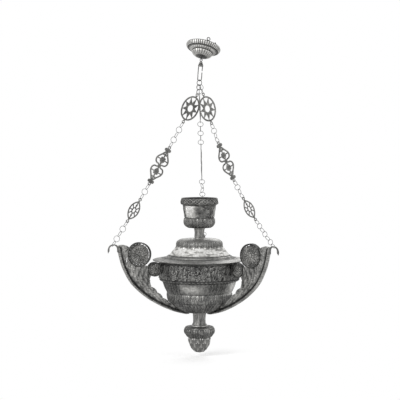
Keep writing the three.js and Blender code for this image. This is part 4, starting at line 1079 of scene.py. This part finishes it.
def cover_relief(u, v, r, z):
    """Fine turned lines on the sloping plate, then steps, the plain flare and the feathered band."""
    slope = between(r, *SLOPE_RADII, 1.0)
    turned_lines = wave(r / 3.4)
    flare = between(z, *FLARE, 1.0)
    hammer = unevenness(u, v, 64, 60, 31)
    streak = unevenness(u, v, 90, 6, 35)
    stain = smooth(0.53, 0.7, noise(u, v, 30, 26, 37) + 0.1 * smooth(28, 38, z))
    upper = between(z, *FEATHERS, 1.2)
    feather = leaf_row(u, 26, (54.5 - z) / 17.5, 1.25, wide=0.96, uneven=0.1)
    top = between(r, *TOP_RADII, 1.5) * smooth(55, 57, z)
    height = (
        0.3 * slope * turned_lines + flare * (0.5 * hammer + 0.3 * streak) + 1.5 * upper * feather
        + top * (0.35 * hammer) + 0.8 * top * ridges(r, (20, 1, 1.1), (24, 0.8, 0.7))
        - ridges(z, (FLARE_GROOVE, 0.9, 0.6), (STEP_GROOVE, 0.7, 0.5))
    )
    tone = (
        0.5 + 0.16 * slope * (turned_lines - 0.5) + 0.04 * slope + 0.4 * flare + 0.12 * top - 0.05 * upper
        - 0.3 * flare * stain - 0.1 * slope * stain
        - ridges(z, (FLARE_GROOVE, 0.25, 1.0), (STEP_GROOVE, 0.25, 0.8))
    )
    return height, tone


cover_profile = [
    (130.8, 0), (131.8, 1.0), (131.0, 2.0), (112, 5.3), (93.8, 8.2), (93.4, 9), (91.8, 12.0), (90.6, 12.8),
    (85.4, 15), (84, 16.2), (79, 22), (72.5, 30), (65, 39), (64.4, 41), (64.8, 46), (63.8, 49.6), (62, 53),
    (59, 56.4), (54, 58.8), (46, 60), (BORE, 60),
]
turned("cover_work", "lamp", cover_profile, cover_relief, cover_silver, ["bowl_cover"],
       wall=1.4, columns=416, step=0.9, place=lamp_at(COVER_Z))


def stem_relief(u, v, r, z):
    streaks = unevenness(u, v, 22, 2, 41)
    middle = smooth(0.1, 0.2, v) * (1 - smooth(0.78, 0.88, v))
    bands = ridges(v, (0.94, 1, 0.02), (0.88, 1, 0.015), (0.06, 1, 0.03))
    height = 0.5 * middle * dome(cells(u, 9)[0]) + 0.4 * bands + 0.25 * streaks
    return height, 0.53 + 0.5 * streaks * middle + 0.1 * bands


for node, z, height, top_r, waist_r, bottom_r in (
    ("cup_stem", CUP_STEM_Z, 31, 16.3, 12.9, 14),
    ("lower_stem", LOWER_STEM_Z, 40, 19.6, 17, 23.8),
):
    stem_profile = [(bottom_r, 0), (waist_r + 0.5, height * 0.24), (waist_r, height * 0.55),
                    (waist_r + 1, height * 0.8), (top_r, height)]
    turned(node + "_work", "lamp", stem_profile, stem_relief, stem_silver, [node], wall=2.2,
           columns=180, step=0.6, rounding=6, place=lamp_at(z))


CUP_BULGE, CUP_BODY, CUP_LIP = (3, 27), (29.5, 62.5), (67.5, 81.5)


def cup_relief(u, v, r, z):
    """Leaves on the bulge, arched panels on the body, and crossed sprays on the lip."""
    bulge = between(z, *CUP_BULGE, 1.2)
    leaves = leaf_row(u, 13, (z - 2.5) / 25.5, 1.1)
    body = between(z, *CUP_BODY, 1.0)
    x, n = cells(u, 6, 0.12)
    arches = ridge(z - 59 + 9 * x ** 4, 0, 1.3) + ridge(np.abs(x), 0.93, 0.05)
    sprig = np.maximum(leaf((np.abs(x) - 0.42) / 0.34, (z - 30) / 27, 4), leaf(x / 0.3, (z - 29) / 31, 5))
    sprig = np.where(n == 4, 0.12 * unevenness(u, v, 40, 30, 53), sprig)  # one panel is plain
    lip = between(z, *CUP_LIP, 0.7)
    x, _ = cells(u, 15)
    level = (z - 74.5) / 7
    cross = np.maximum(ridge(x - level, 0, 0.16), ridge(x + level, 0, 0.16))
    spray = np.maximum(cross, 0.7 * flower((np.abs(x) - 1) / 0.42, level / 0.62, 5))
    height = (
        1.6 * bulge * leaves + body * (1.7 * sprig + 0.4 * arches) + 1.0 * lip * spray
        + ridges(z, (82.4, 0.7, 0.7), (66.4, 0.7, 0.7)) + 0.3 * unevenness(u, v, 90, 70, 51)
    )
    stain = unevenness(u, v, 18, 12, 55)
    # Painted light in the tone: a painted highlight down the body at bearing -38, where the key light
    # falls, and a weaker painted highlight at bearing 76, on the right.
    painted_key_highlight = np.exp(-((from_bearing(u, -38) / 24) ** 4))
    painted_right_highlight = ridge(from_bearing(u, 76), 0, 22)
    # The tone darkens below z 5, on the underside where the cup meets its stem, as painted shade.
    tone = (
        0.38 + body * (0.52 * painted_key_highlight + 0.24 * painted_right_highlight + 0.5 * stain) + 0.06 * bulge - 0.03 * lip
        - 0.3 * smooth(5, 0.5, z) - ridges(z, (65.2, 0.22, 0.9), (28.2, 0.15, 0.9))
    )
    return height, tone


cup_profile = [
    (BORE, 0), (32.6, 0), (34.8, 1.2), (37.6, 4.4), (41.4, 9), (43.2, 14), (43.3, 19), (42.4, 24),
    (41.4, 28), (42.0, 36), (43.6, 46), (45.4, 56), (47, 64), (49.6, 65.2), (52.2, 67), (52.7, 69),
    (52.2, 73), (51, 79), (50, 83),
]
turned("cup_work", "lamp", cup_profile, cup_relief, cup_silver, ["cup"], columns=440, step=0.75,
       place=lamp_at(CUP_Z))


def collar_relief(u, v, r, z):
    leaves = leaf_row(u, 18, (z - 2) / 24, 1.15) * between(z, 2, 26, 1)
    rim = ridge(z, 27.6, 0.8)
    height = 1.1 * leaves + 0.6 * rim * (0.5 + 0.5 * beads(u * 60)) + 0.5 * unevenness(u, v, 80, 50, 61)
    return height, 0.36 + 0.04 * leaves + 0.04 * rim


collar_profile = [
    (BORE, 0), (31, 0), (32.4, 0.6), (35.4, 4), (38.8, 9.4), (41.8, 13), (43.1, 17), (43.2, 20),
    (42.3, 24), (40.4, 28.4), (38, 31), (30, 30.6), (20, 30), (BORE, 30),
]
turned("collar_work", "lamp", collar_profile, collar_relief, frieze_silver,
       ["finial_collar"], wall=2, step=0.75, place=lamp_at(COLLAR_Z))

SCALE_ROWS, SCALES_ROUND = 4, 9


def bud_relief(u, v, r, z):
    """Overlapping scales, whose rounded tips point down."""
    height, edge = 0.0, 0.0
    share = -z / BUD_HEIGHT
    for row in range(SCALE_ROWS):
        x, _ = cells(u, SCALES_ROUND, 0.5 * (row % 2))
        top, bottom = row / SCALE_ROWS - 0.16, (row + 1) / SCALE_ROWS + 0.02
        y = (share - top) / (bottom - top)
        width = np.sqrt(np.clip(1 - np.clip(y, 0, 1.2) ** 3.2, 0, 1)) * 0.98
        inside = smooth(0, 0.1, width - np.abs(x)) * (y > 0) * (y < 1)
        scale = inside * (0.35 + 0.65 * np.clip(y, 0, 1)) * (0.75 + 0.25 * dome(x))
        closer = inside > 0.5
        height = np.where(closer, scale, np.maximum(height * (1 - inside), scale))
        edge = np.where(closer, inside * ridge(width - np.abs(x), 0.12, 0.12), edge)
    tip = smooth(0.9, 0.97, share)
    relief = 2.6 * height * (1 - tip) + 0.3 * unevenness(u, v, 60, 40, 71)
    return relief, 0.44 + 0.4 * edge - 0.36 * tip


bud_profile = [
    (0.4, -BUD_HEIGHT), (4, -42.6), (9, -40.6), (15, -36.4), (21, -30), (25.6, -22.4), (28.6, -14),
    (30.2, -6), (30.6, -0.8), (30, 0), (0.4, 0),
]
turned("bud_work", "lamp", bud_profile, bud_relief, canopy_silver, ["finial_bud"],
       step=0.6, rounding=3, place=lamp_at(BUD_TOP), poles=True)

# Oil glass, float and wick

GLASS_FLOOR = 4
FLOAT_Z = GLASS_Z + GLASS_FLOOR + SEAT
glass_profile = [
    (0.3, 0), (27, 0), (30, 9), (33, 26.4), (36, 50), (38, 66), (36.6, 66.6), (36, 66), (34, 50),
    (31, 26.4), (28, 9), (25, GLASS_FLOOR), (0.3, GLASS_FLOOR),
]
float_profile = [(1.7, 0), (16.4, 0), (17, 0.6), (17, 2.4), (16.2, 3), (4, 3), (3, 3.6), (2.9, 11.6),
                 (2.4, 12), (1.7, 12)]
wick_profile = [(0.2, 0), (1.2, 0.1), (1.3, 1), (1.2, 17), (0.7, 18.8), (0.2, 19)]


def wick_relief(u, v, r, z):
    return 0.12 * np.cos(TAU * (4 * u + z / 3)), 0.5


turned("oil_vessel", "oil_glass", glass_profile, plain(0.5), ruby, ["oil_glass"],
       columns=120, step=1.2, place=lamp_at(GLASS_Z), poles=True, crease=60)
turned("float_work", "wick_float", float_profile, plain(0.6, 0.1), canopy_silver,
       ["wick_float"], wall=0.4, columns=96, step=0.6, place=lamp_at(FLOAT_Z))
turned("wick_cord", "wick_float", wick_profile, wick_relief, cotton, ["wick"],
       columns=32, step=0.3, place=lamp_at(FLOAT_Z), poles=True)

# Brackets, in their own frame: X out from the lamp's axis, Z up and Y across

spine = spline(SPINE, 240)
spine_along = travelled(spine)
inner_edge = spline(INNER, 200)
inner_along = travelled(inner_edge)
lobe_out = 3.6 * np.abs(np.sin(math.pi * inner_along / 24)) ** 0.8
lobe_out = lobe_out + np.abs(np.sin(math.pi * inner_along / 6))
inner_lobed = inner_edge + line_normals(inner_edge) * lobe_out[:, None]
web_outline = np.concatenate([
    [(TONGUE[0], TONGUE[1] + 0.1)], spine - line_normals(spine) * 0.9, WEB_TOP, inner_lobed,
    [(44, 1.6), (TONGUE[0], 0)],
])
# Holes stand round the boss at even bearings, and at some of them they are long slots.
HOLE_CIRCLE, HOLE_BEARINGS, SLOT_BEARINGS = 28.9, range(-34, 320, 18), (-16, 2, 20, 38, 56, 74)
WEB_SLOTS = [((152.4, 143.6), (158.4, 141.2), 1.6), ((215.5, 160.5), (217.5, 149), 1.5)]


def nearest_on_spine(x, z):
    """(distance along the spine, distance in from it) of each point."""
    best, along = np.full(x.shape, np.inf), np.zeros(x.shape)
    for k in range(0, len(spine), 3):
        off = np.hypot(x - spine[k, 0], z - spine[k, 1])
        closer = off < best
        best, along = np.where(closer, off, best), np.where(closer, spine_along[k], along)
    return along, best


def bracket_web(x, z):
    body = d_join(
        d_polygon(x, z, web_outline),
        d_circle(x, z, BOSS, BOSS_RADIUS - 0.8), d_circle(x, z, SCROLL, SCROLL_RADIUS - 0.8),
    )
    holes = [d_circle(x, z, BOSS, LARGE_ROSETTE + 0.2), d_circle(x, z, SCROLL, SMALL_ROSETTE + 0.2)]
    for bearing in HOLE_BEARINGS:
        angle = (180 - bearing) * RAD
        reach, half = (3.1, 1.25) if bearing in SLOT_BEARINGS else (0.7, 0.95)
        at = np.array(BOSS) + HOLE_CIRCLE * np.array([math.cos(angle), math.sin(angle)])
        across = reach * np.array([-math.sin(angle), math.cos(angle)])
        holes.append(d_bar(x, z, at - across, at + across, half))
    return d_cut(body, *holes, *[d_bar(x, z, *slot) for slot in WEB_SLOTS])


def web_relief(x, z, d):
    """Leafy scrolls that follow the spine, with turned lines round the boss."""
    along, inward = nearest_on_spine(x, z)
    boss_r, scroll_r = d_circle(x, z, BOSS, 0), d_circle(x, z, SCROLL, 0)
    on_boss = 1 - smooth(-1, 1, boss_r - BOSS_RADIUS + 1)
    on_leaf = (1 - on_boss) * smooth(-1, 1, scroll_r - SCROLL_RADIUS + 1)
    phase = along / 24 - 0.9 * inward / 24
    lobe = np.abs(np.sin(math.pi * phase)) ** 0.55
    veins = wave(along / 5.2 + inward / 9)
    curls = volute(np.sin(math.pi * phase) * 1.3, (inward - 22) / 12)
    border = ridge(inward, 6.4, 0.9) * on_leaf
    scrolls = 0.75 * lobe + 0.5 * veins * lobe + 0.7 * curls
    height = on_leaf * smooth(7, 10, inward) * scrolls - 0.5 * border
    height = height + ridges(boss_r, (31.6, 0.5, 0.7), (26.0, 0.5, 0.6))
    depth = cast_edge(d, 1.5, WEB / 2 - 0.2, 1.4) + 1.1 * height * smooth(0.3, 1.6, -d)
    wear = np.clip(0.5 + 0.5 * (height - 0.6 * on_leaf) + 0.2 * ridge(-d, 0.4, 0.5), 0, 1)
    return np.maximum(depth, 0.9), wear, 0.43 - 0.12 * border - 0.12 * on_boss


def swept(line, across, depth_out, depth_in, tone, closed=False):
    """A strip along a line in X, Z, with normals to its right. across, depth_out and depth_in are grids
    of the place across it and of the two surfaces' distances along the normal."""
    if closed:
        way = np.roll(line, -1, 0) - np.roll(line, 1, 0)
        normals = np.stack([way[:, 1], -way[:, 0]], -1) / np.hypot(*way.T)[:, None]
    else:
        normals = line_normals(line)
    rows, columns = across.shape
    depth_out, depth_in = (np.broadcast_to(depth, across.shape) for depth in (depth_out, depth_in))
    sheets = []
    for places, depth in ((across, depth_out), (across[:, ::-1], depth_in[:, ::-1])):
        at = line[:, None] + normals[:, None] * depth[..., None]
        sheets.append(np.stack([at[..., 0], places, at[..., 1]], -1))
    loop_points = np.concatenate(sheets, 1)
    points = loop_points.reshape(-1, 3)
    faces = [grid_faces(rows, 2 * columns, closed)]
    wear = np.concatenate([cavity(depth_out, 1.0, 0.8, 1.6), np.full((rows, columns), 0.5)], 1).ravel()
    if not closed:
        points = np.concatenate([points, loop_points[[0, -1]].mean(1)])
        faces.append(fans(rows, 2 * columns))
        wear = np.append(wear, [0.5, 0.5])
    return points, faces, {"wear": wear, "tone": np.full(len(points), tone)}


def rounded_edge(t, share):
    """1 over a strip's width, and down to 0 over the given share at each edge."""
    return dome(((np.abs(t) - (1 - share)) / share).clip(0, 1))


def strip_grid(length, rows, scallop):
    """(distance along, share across from -1 to 1, place across, rounding at the edges) of a strip."""
    along = np.linspace(0, length, rows)[:, None]
    margin = STRIP / 2 + 0.55 * np.abs(np.sin(math.pi * along / scallop))
    t = np.linspace(-1, 1, 25)[None, :]
    return along, t, margin * t, rounded_edge(t, 0.2)


def edging_shape():
    """The strip along the bracket's outer edge, with pearls beside a leafy runner."""
    line = resample(np.concatenate([[TONGUE], spine]), 0.9 / FINE)
    along, t, across, edge = strip_grid(travelled(line)[-1], len(line), 7.5)
    pearls = ridge(np.abs(t), 0.78, 0.1) * beads(along / 3.6)
    runner = ridge(t - 0.42 * np.sin(TAU * along / 22), 0, 0.13)
    runner = runner + leaf(t / 0.5, np.mod(along / 11, 1.0), 3) * 0.5
    worked = 0.9 * edge * (0.35 + 0.5 * pearls + 0.5 * runner) * smooth(0, 6, along)
    inside = -STRIP_THICKNESS * (0.4 + 0.6 * edge)
    return swept(line, across, 0.15 + worked + 0.9 * beads(along / 5.4), inside, 0.6)


def band_shape(centre, radius):
    """The corded strip round a boss."""
    rows, girth = int(TAU * radius / 0.9 * FINE), TAU * radius
    angle = -TAU * np.arange(rows) / rows
    line = np.stack([centre[0] + radius * np.cos(angle), centre[1] + radius * np.sin(angle)], -1)
    along, t, across, edge = strip_grid(girth * (rows - 1) / rows, rows, girth / round(radius / 1.25))
    cord = wave(along / (girth / round(radius * 1.2)) + 1.5 * t)
    out = -0.9 + 0.8 * edge * (0.4 + 0.5 * cord * ridge(np.abs(t), 0.72, 0.16) + 0.4 * ridge(t, 0, 0.2))
    # The strip's dark tone of 0.26 is painted shade, for the shadow seen on the band's inside.
    return swept(line, across, -out, STRIP_THICKNESS * (0.5 + 0.5 * edge), 0.26, True)


ARCH_TIP = -24 * RAD


def arch_shape():
    """The hook at the top of the bracket, broad at its root, which ends in a small pointed leaf."""
    angles = np.linspace(math.pi, ARCH_TIP, int(110 * FINE))
    line = np.stack([ARCH[0] + ARCH_RADIUS * np.cos(angles), ARCH[1] + ARCH_RADIUS * np.sin(angles)], -1)
    line = np.concatenate([line[:1] - (0, 5), line])
    angles = np.append(math.pi, angles)[:, None]
    leafy = np.exp(-((angles / (32 * RAD)) ** 2))
    end = smooth(ARCH_TIP, -2 * RAD, angles)
    t = np.linspace(-1, 1, 17)[None, :]
    edge = rounded_edge(t, 0.45)
    along = np.linspace(0, 1, len(line))[:, None]
    root = (1 - smooth(0, 0.55, along)) ** 1.5
    half = (ARCH_WIDTH / 2 + 4.5 * root + 0.6 * leafy) * (0.16 + 0.84 * end)
    half = half + 0.25 * np.abs(np.sin(math.pi * along * 22))
    groove = 0.5 * ridge(np.abs(t), 0.45, 0.16) + 0.5 * ridge(np.abs(t), -0.45, 0.16)
    thick = (ARCH_THICKNESS + 3.2 * root + 2.4 * leafy) * (0.3 + 0.7 * end)
    out = 0.1 + 0.3 * edge * (1 - groove) - 0.5 * (1 - edge) - 1.9 * leafy
    return swept(line, half * t, -out, thick * (0.25 + 0.75 * edge), 0.46)


def rosette_shape(radius, centre, outer, inner, rise_to):
    """A rosette worked on both faces, as one closed disc."""
    columns = int((16 * outer) * max(FINE, 0.7))
    u = (np.arange(columns) / columns)[None, :]
    share = np.linspace(0.02, 1, int(radius * 2.4 * FINE) + 6)[:, None]
    a = TAU * u
    petals = between(share, 0.5, 0.88, 0.03) * np.abs(np.cos(outer / 2 * a)) ** 0.6
    petals = petals * (0.6 + 0.4 * np.cos(1.6 * (share - 0.7) * math.pi))
    small = between(share, 0.24, 0.48, 0.025) * np.abs(np.sin(inner / 2 * a)) ** 0.6
    knob = dome(share / 0.22)
    hatch = between(share, 0.9, 0.98, 0.01) * wave(outer * 3 * u)
    rise = 2.0 * petals + 1.7 * small + 2.4 * knob + 0.9 * hatch + 0.35 * np.cos(4 * outer * a) * petals
    depth = 2.2 + (rise_to - 4.6) * (1 - share ** 2) + rise * min(1.0, radius / 18)
    r = share * radius * (1 - 0.012 * wave(outer * u))
    wear = cavity(rise, radius / len(share), TAU * radius * 0.6 / columns, 1.6, 0.5)
    disc = np.stack([centre[0] + r * np.cos(a), depth, centre[1] + r * np.sin(a)], -1)
    points = np.concatenate([disc * (1, -1, 1), disc[::-1]]).reshape(-1, 3)
    poles = [[centre[0], side * depth[0, 0], centre[1]] for side in (-1, 1)]
    faces = [grid_faces(2 * len(share), columns, False), fans(2 * len(share), columns)]
    wear = np.append(np.concatenate([wear, wear[::-1]]).ravel(), [0.8, 0.8])
    tone = np.append(np.tile(0.46 + 0.06 * knob + 0 * u, (2, 1)).ravel(), [0.4, 0.4])
    return np.concatenate([points, poles]), faces, {"wear": wear, "tone": tone}


bracket_shapes = [
    ("bracket_leaf", *pierced(bracket_web, web_relief, (28, -8), (246, 206), 0.95), ["bracket"]),
    ("bracket_edging", *edging_shape(), []),
    ("bracket_arch", *arch_shape(), []),
    ("boss_band", *band_shape(BOSS, BOSS_RADIUS), []),
    ("scroll_band", *band_shape(SCROLL, SCROLL_RADIUS), []),
    ("boss_rosette", *rosette_shape(LARGE_ROSETTE, BOSS, 16, 8, 6.6), ["large_rosette"]),
    ("scroll_rosette", *rosette_shape(SMALL_ROSETTE, SCROLL, 10, 6, 6.0), ["small_rosette"]),
]
lug_profile = [(0.3, 113.9), (6.4, 113.9), (6.4, 115.4), (5.2, 116.6), (5.2, 118.4), (6, 120), (6, 121.5),
               (0.3, 121.5)]
screw_profile = [(0.1, 108.6), (2.4, 108.8), (3.8, 109.8), (4, 110.6), (1.8, 111), (1.8, 121.2),
                 (0.1, 121.2)]
rivet_profile = [(0.1, -4.0), (1.6, -3.8), (2.8, -3.0), (3, -2.4), (1.5, -2.3), (1.5, 1.9), (3, 2.0),
                 (2.6, 2.9), (1.4, 3.4), (0.1, 3.5)]
screw_way = Matrix.Translation((0, 0, SCROLL[1])) @ Matrix.Rotation(math.pi / 2, 4, "Y")
rivet_way = Matrix.Translation((RIVET_OUT, 0, 0))
fastenings = [
    ("bracket_lug", lug_profile, screw_way, 0.36, "silver", [], 40, 0.5),
    ("screw_work", screw_profile, screw_way, 0.4, "dark_silver", ["bracket_screw"], 32, 0.5),
    ("rivet_work", rivet_profile, rivet_way, 0.46, "dark_silver", ["bracket_rivet"], 32, 0.35),
]
for chain in CHAINS:
    suffix = "_" + chain["name"]
    place = lamp_at(0) @ Matrix.Rotation(-chain["azimuth"] * RAD, 4, "Z")
    for name, shape, faces, fields, nodes in bracket_shapes:
        make_piece(name + suffix, "lamp", moved(shape, place), faces, bracket_silver,
                   [node + suffix for node in nodes], fields, 60)
    for name, profile, way, tone, slot, nodes, columns, step in fastenings:
        turned(name + suffix, "lamp", profile, plain(tone), bracket_silver,
               [node + suffix for node in nodes], columns=columns, step=step, place=place @ way, poles=True)

for node in ("tie_rod", "tie_nut", "canopy_eye_nut"):
    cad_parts[node].data.materials.clear()
    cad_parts[node].data.materials.append(inner_silver)

# Floor, lights, world and camera

FLOOR_Z = LAMP_Z + BUD_TOP - BUD_HEIGHT - 10
FLOOR_HALF = 9.0
FLOOR_COLOUR, FLOOR_GLOW = (0.82, 0.82, 0.82), 0.32
SHADOW_FROM, SHADOW_TO = 0.05, 0.2
WORLD_LIGHT = 0.55
LIGHT_AIM_Z = -0.45
CAMERA_PLACE, LOOK_DOWN = (-0.0033, -4.493, -0.1947), 3.2


def output_of(tree, kind, *values):
    return add(tree, kind, dict(enumerate(values))).outputs[0]


def stage_material(name):
    """A pale surface that the camera sees as white, with the object's soft shadow close under it.
    From below it is clear."""
    material, tree, shader = new_material(name)
    feed(tree, shader, {"Base Color": (*FLOOR_COLOUR, 1), "Roughness": 0.9})
    seen = add(tree, "ShaderNodeLightPath").outputs["Is Camera Ray"]
    glow = output_of(tree, "ShaderNodeEmission", (FLOOR_GLOW, FLOOR_GLOW, FLOOR_GLOW, 1), seen)
    near = output_of(tree, "ShaderNodeAddShader", shader.outputs[0], glow)
    distance = add(tree, "ShaderNodeVectorMath", {0: object_place(tree)}, operation="LENGTH")
    limits = {"Value": distance.outputs["Value"], "From Min": SHADOW_FROM, "From Max": SHADOW_TO}
    away = add(tree, "ShaderNodeMapRange", limits, interpolation_type="SMOOTHSTEP").outputs["Result"]
    white = add(tree, "ShaderNodeEmission").outputs[0]
    above = output_of(tree, "ShaderNodeMixShader", math_node(tree, "MULTIPLY", away, seen), near, white)
    clear = add(tree, "ShaderNodeBsdfTransparent").outputs[0]
    backfacing = add(tree, "ShaderNodeNewGeometry").outputs["Backfacing"]
    surface = output_of(tree, "ShaderNodeMixShader", backfacing, above, clear)
    feed(tree, of_type(tree, "OUTPUT_MATERIAL"), {"Surface": surface})
    return material


floor_mesh = bpy.data.meshes.new("floor")
floor_corners = [(x * FLOOR_HALF, y * FLOOR_HALF, 0) for x, y in ((-1, -1), (1, -1), (1, 1), (-1, 1))]
floor_mesh.from_pydata(floor_corners, [], [(0, 1, 2, 3)])
floor = in_scene("floor", floor_mesh)
floor.location.z = FLOOR_Z * MM
floor_mesh.materials.append(stage_material("floor_white"))


def area_light(name, place, size, power):
    """A square lamp that looks at the middle of the object."""
    light = bpy.data.lights.new(name, "AREA")
    light.shape, light.size, light.energy = "SQUARE", size, power
    lamp_object = in_scene(name, light)
    lamp_object.location = place
    aim = Vector((0, 0, LIGHT_AIM_Z)) - Vector(place)
    lamp_object.rotation_euler = aim.to_track_quat("-Z", "Y").to_euler()


area_light("key", (-1.9, -2.1, 0.9), 1.3, 46)
area_light("fill", (2.4, -1.6, 0.1), 1.6, 18)
area_light("back", (0.6, 2.2, 1.2), 1.6, 20)

world = bpy.data.worlds.new("studio")
bpy.context.scene.world = world
world.use_nodes = True
tree = world.node_tree
background = of_type(tree, "BACKGROUND")
feed(tree, background, {"Color": (1, 1, 1, 1), "Strength": WORLD_LIGHT})
rays = add(tree, "ShaderNodeLightPath").outputs
seen = math_node(tree, "MAXIMUM", rays["Is Camera Ray"], rays["Is Transmission Ray"])
seen = math_node(tree, "MAXIMUM", seen, rays["Is Glossy Ray"])
white = output_of(tree, "ShaderNodeBackground", (1, 1, 1, 1), 1.0)
sky = output_of(tree, "ShaderNodeMixShader", seen, background.outputs[0], white)
feed(tree, of_type(tree, "OUTPUT_WORLD"), {"Surface": sky})

camera = bpy.data.cameras.new("camera")
camera.lens, camera.sensor_width = 144.45, 36
camera.clip_start, camera.clip_end = 0.1, 50
camera_object = in_scene("camera", camera)
camera_object.location = CAMERA_PLACE
camera_object.rotation_euler = (math.radians(90 - LOOK_DOWN), 0, 0)
bpy.context.scene.camera = camera_object
bpy.context.scene.view_settings.view_transform = "Standard"
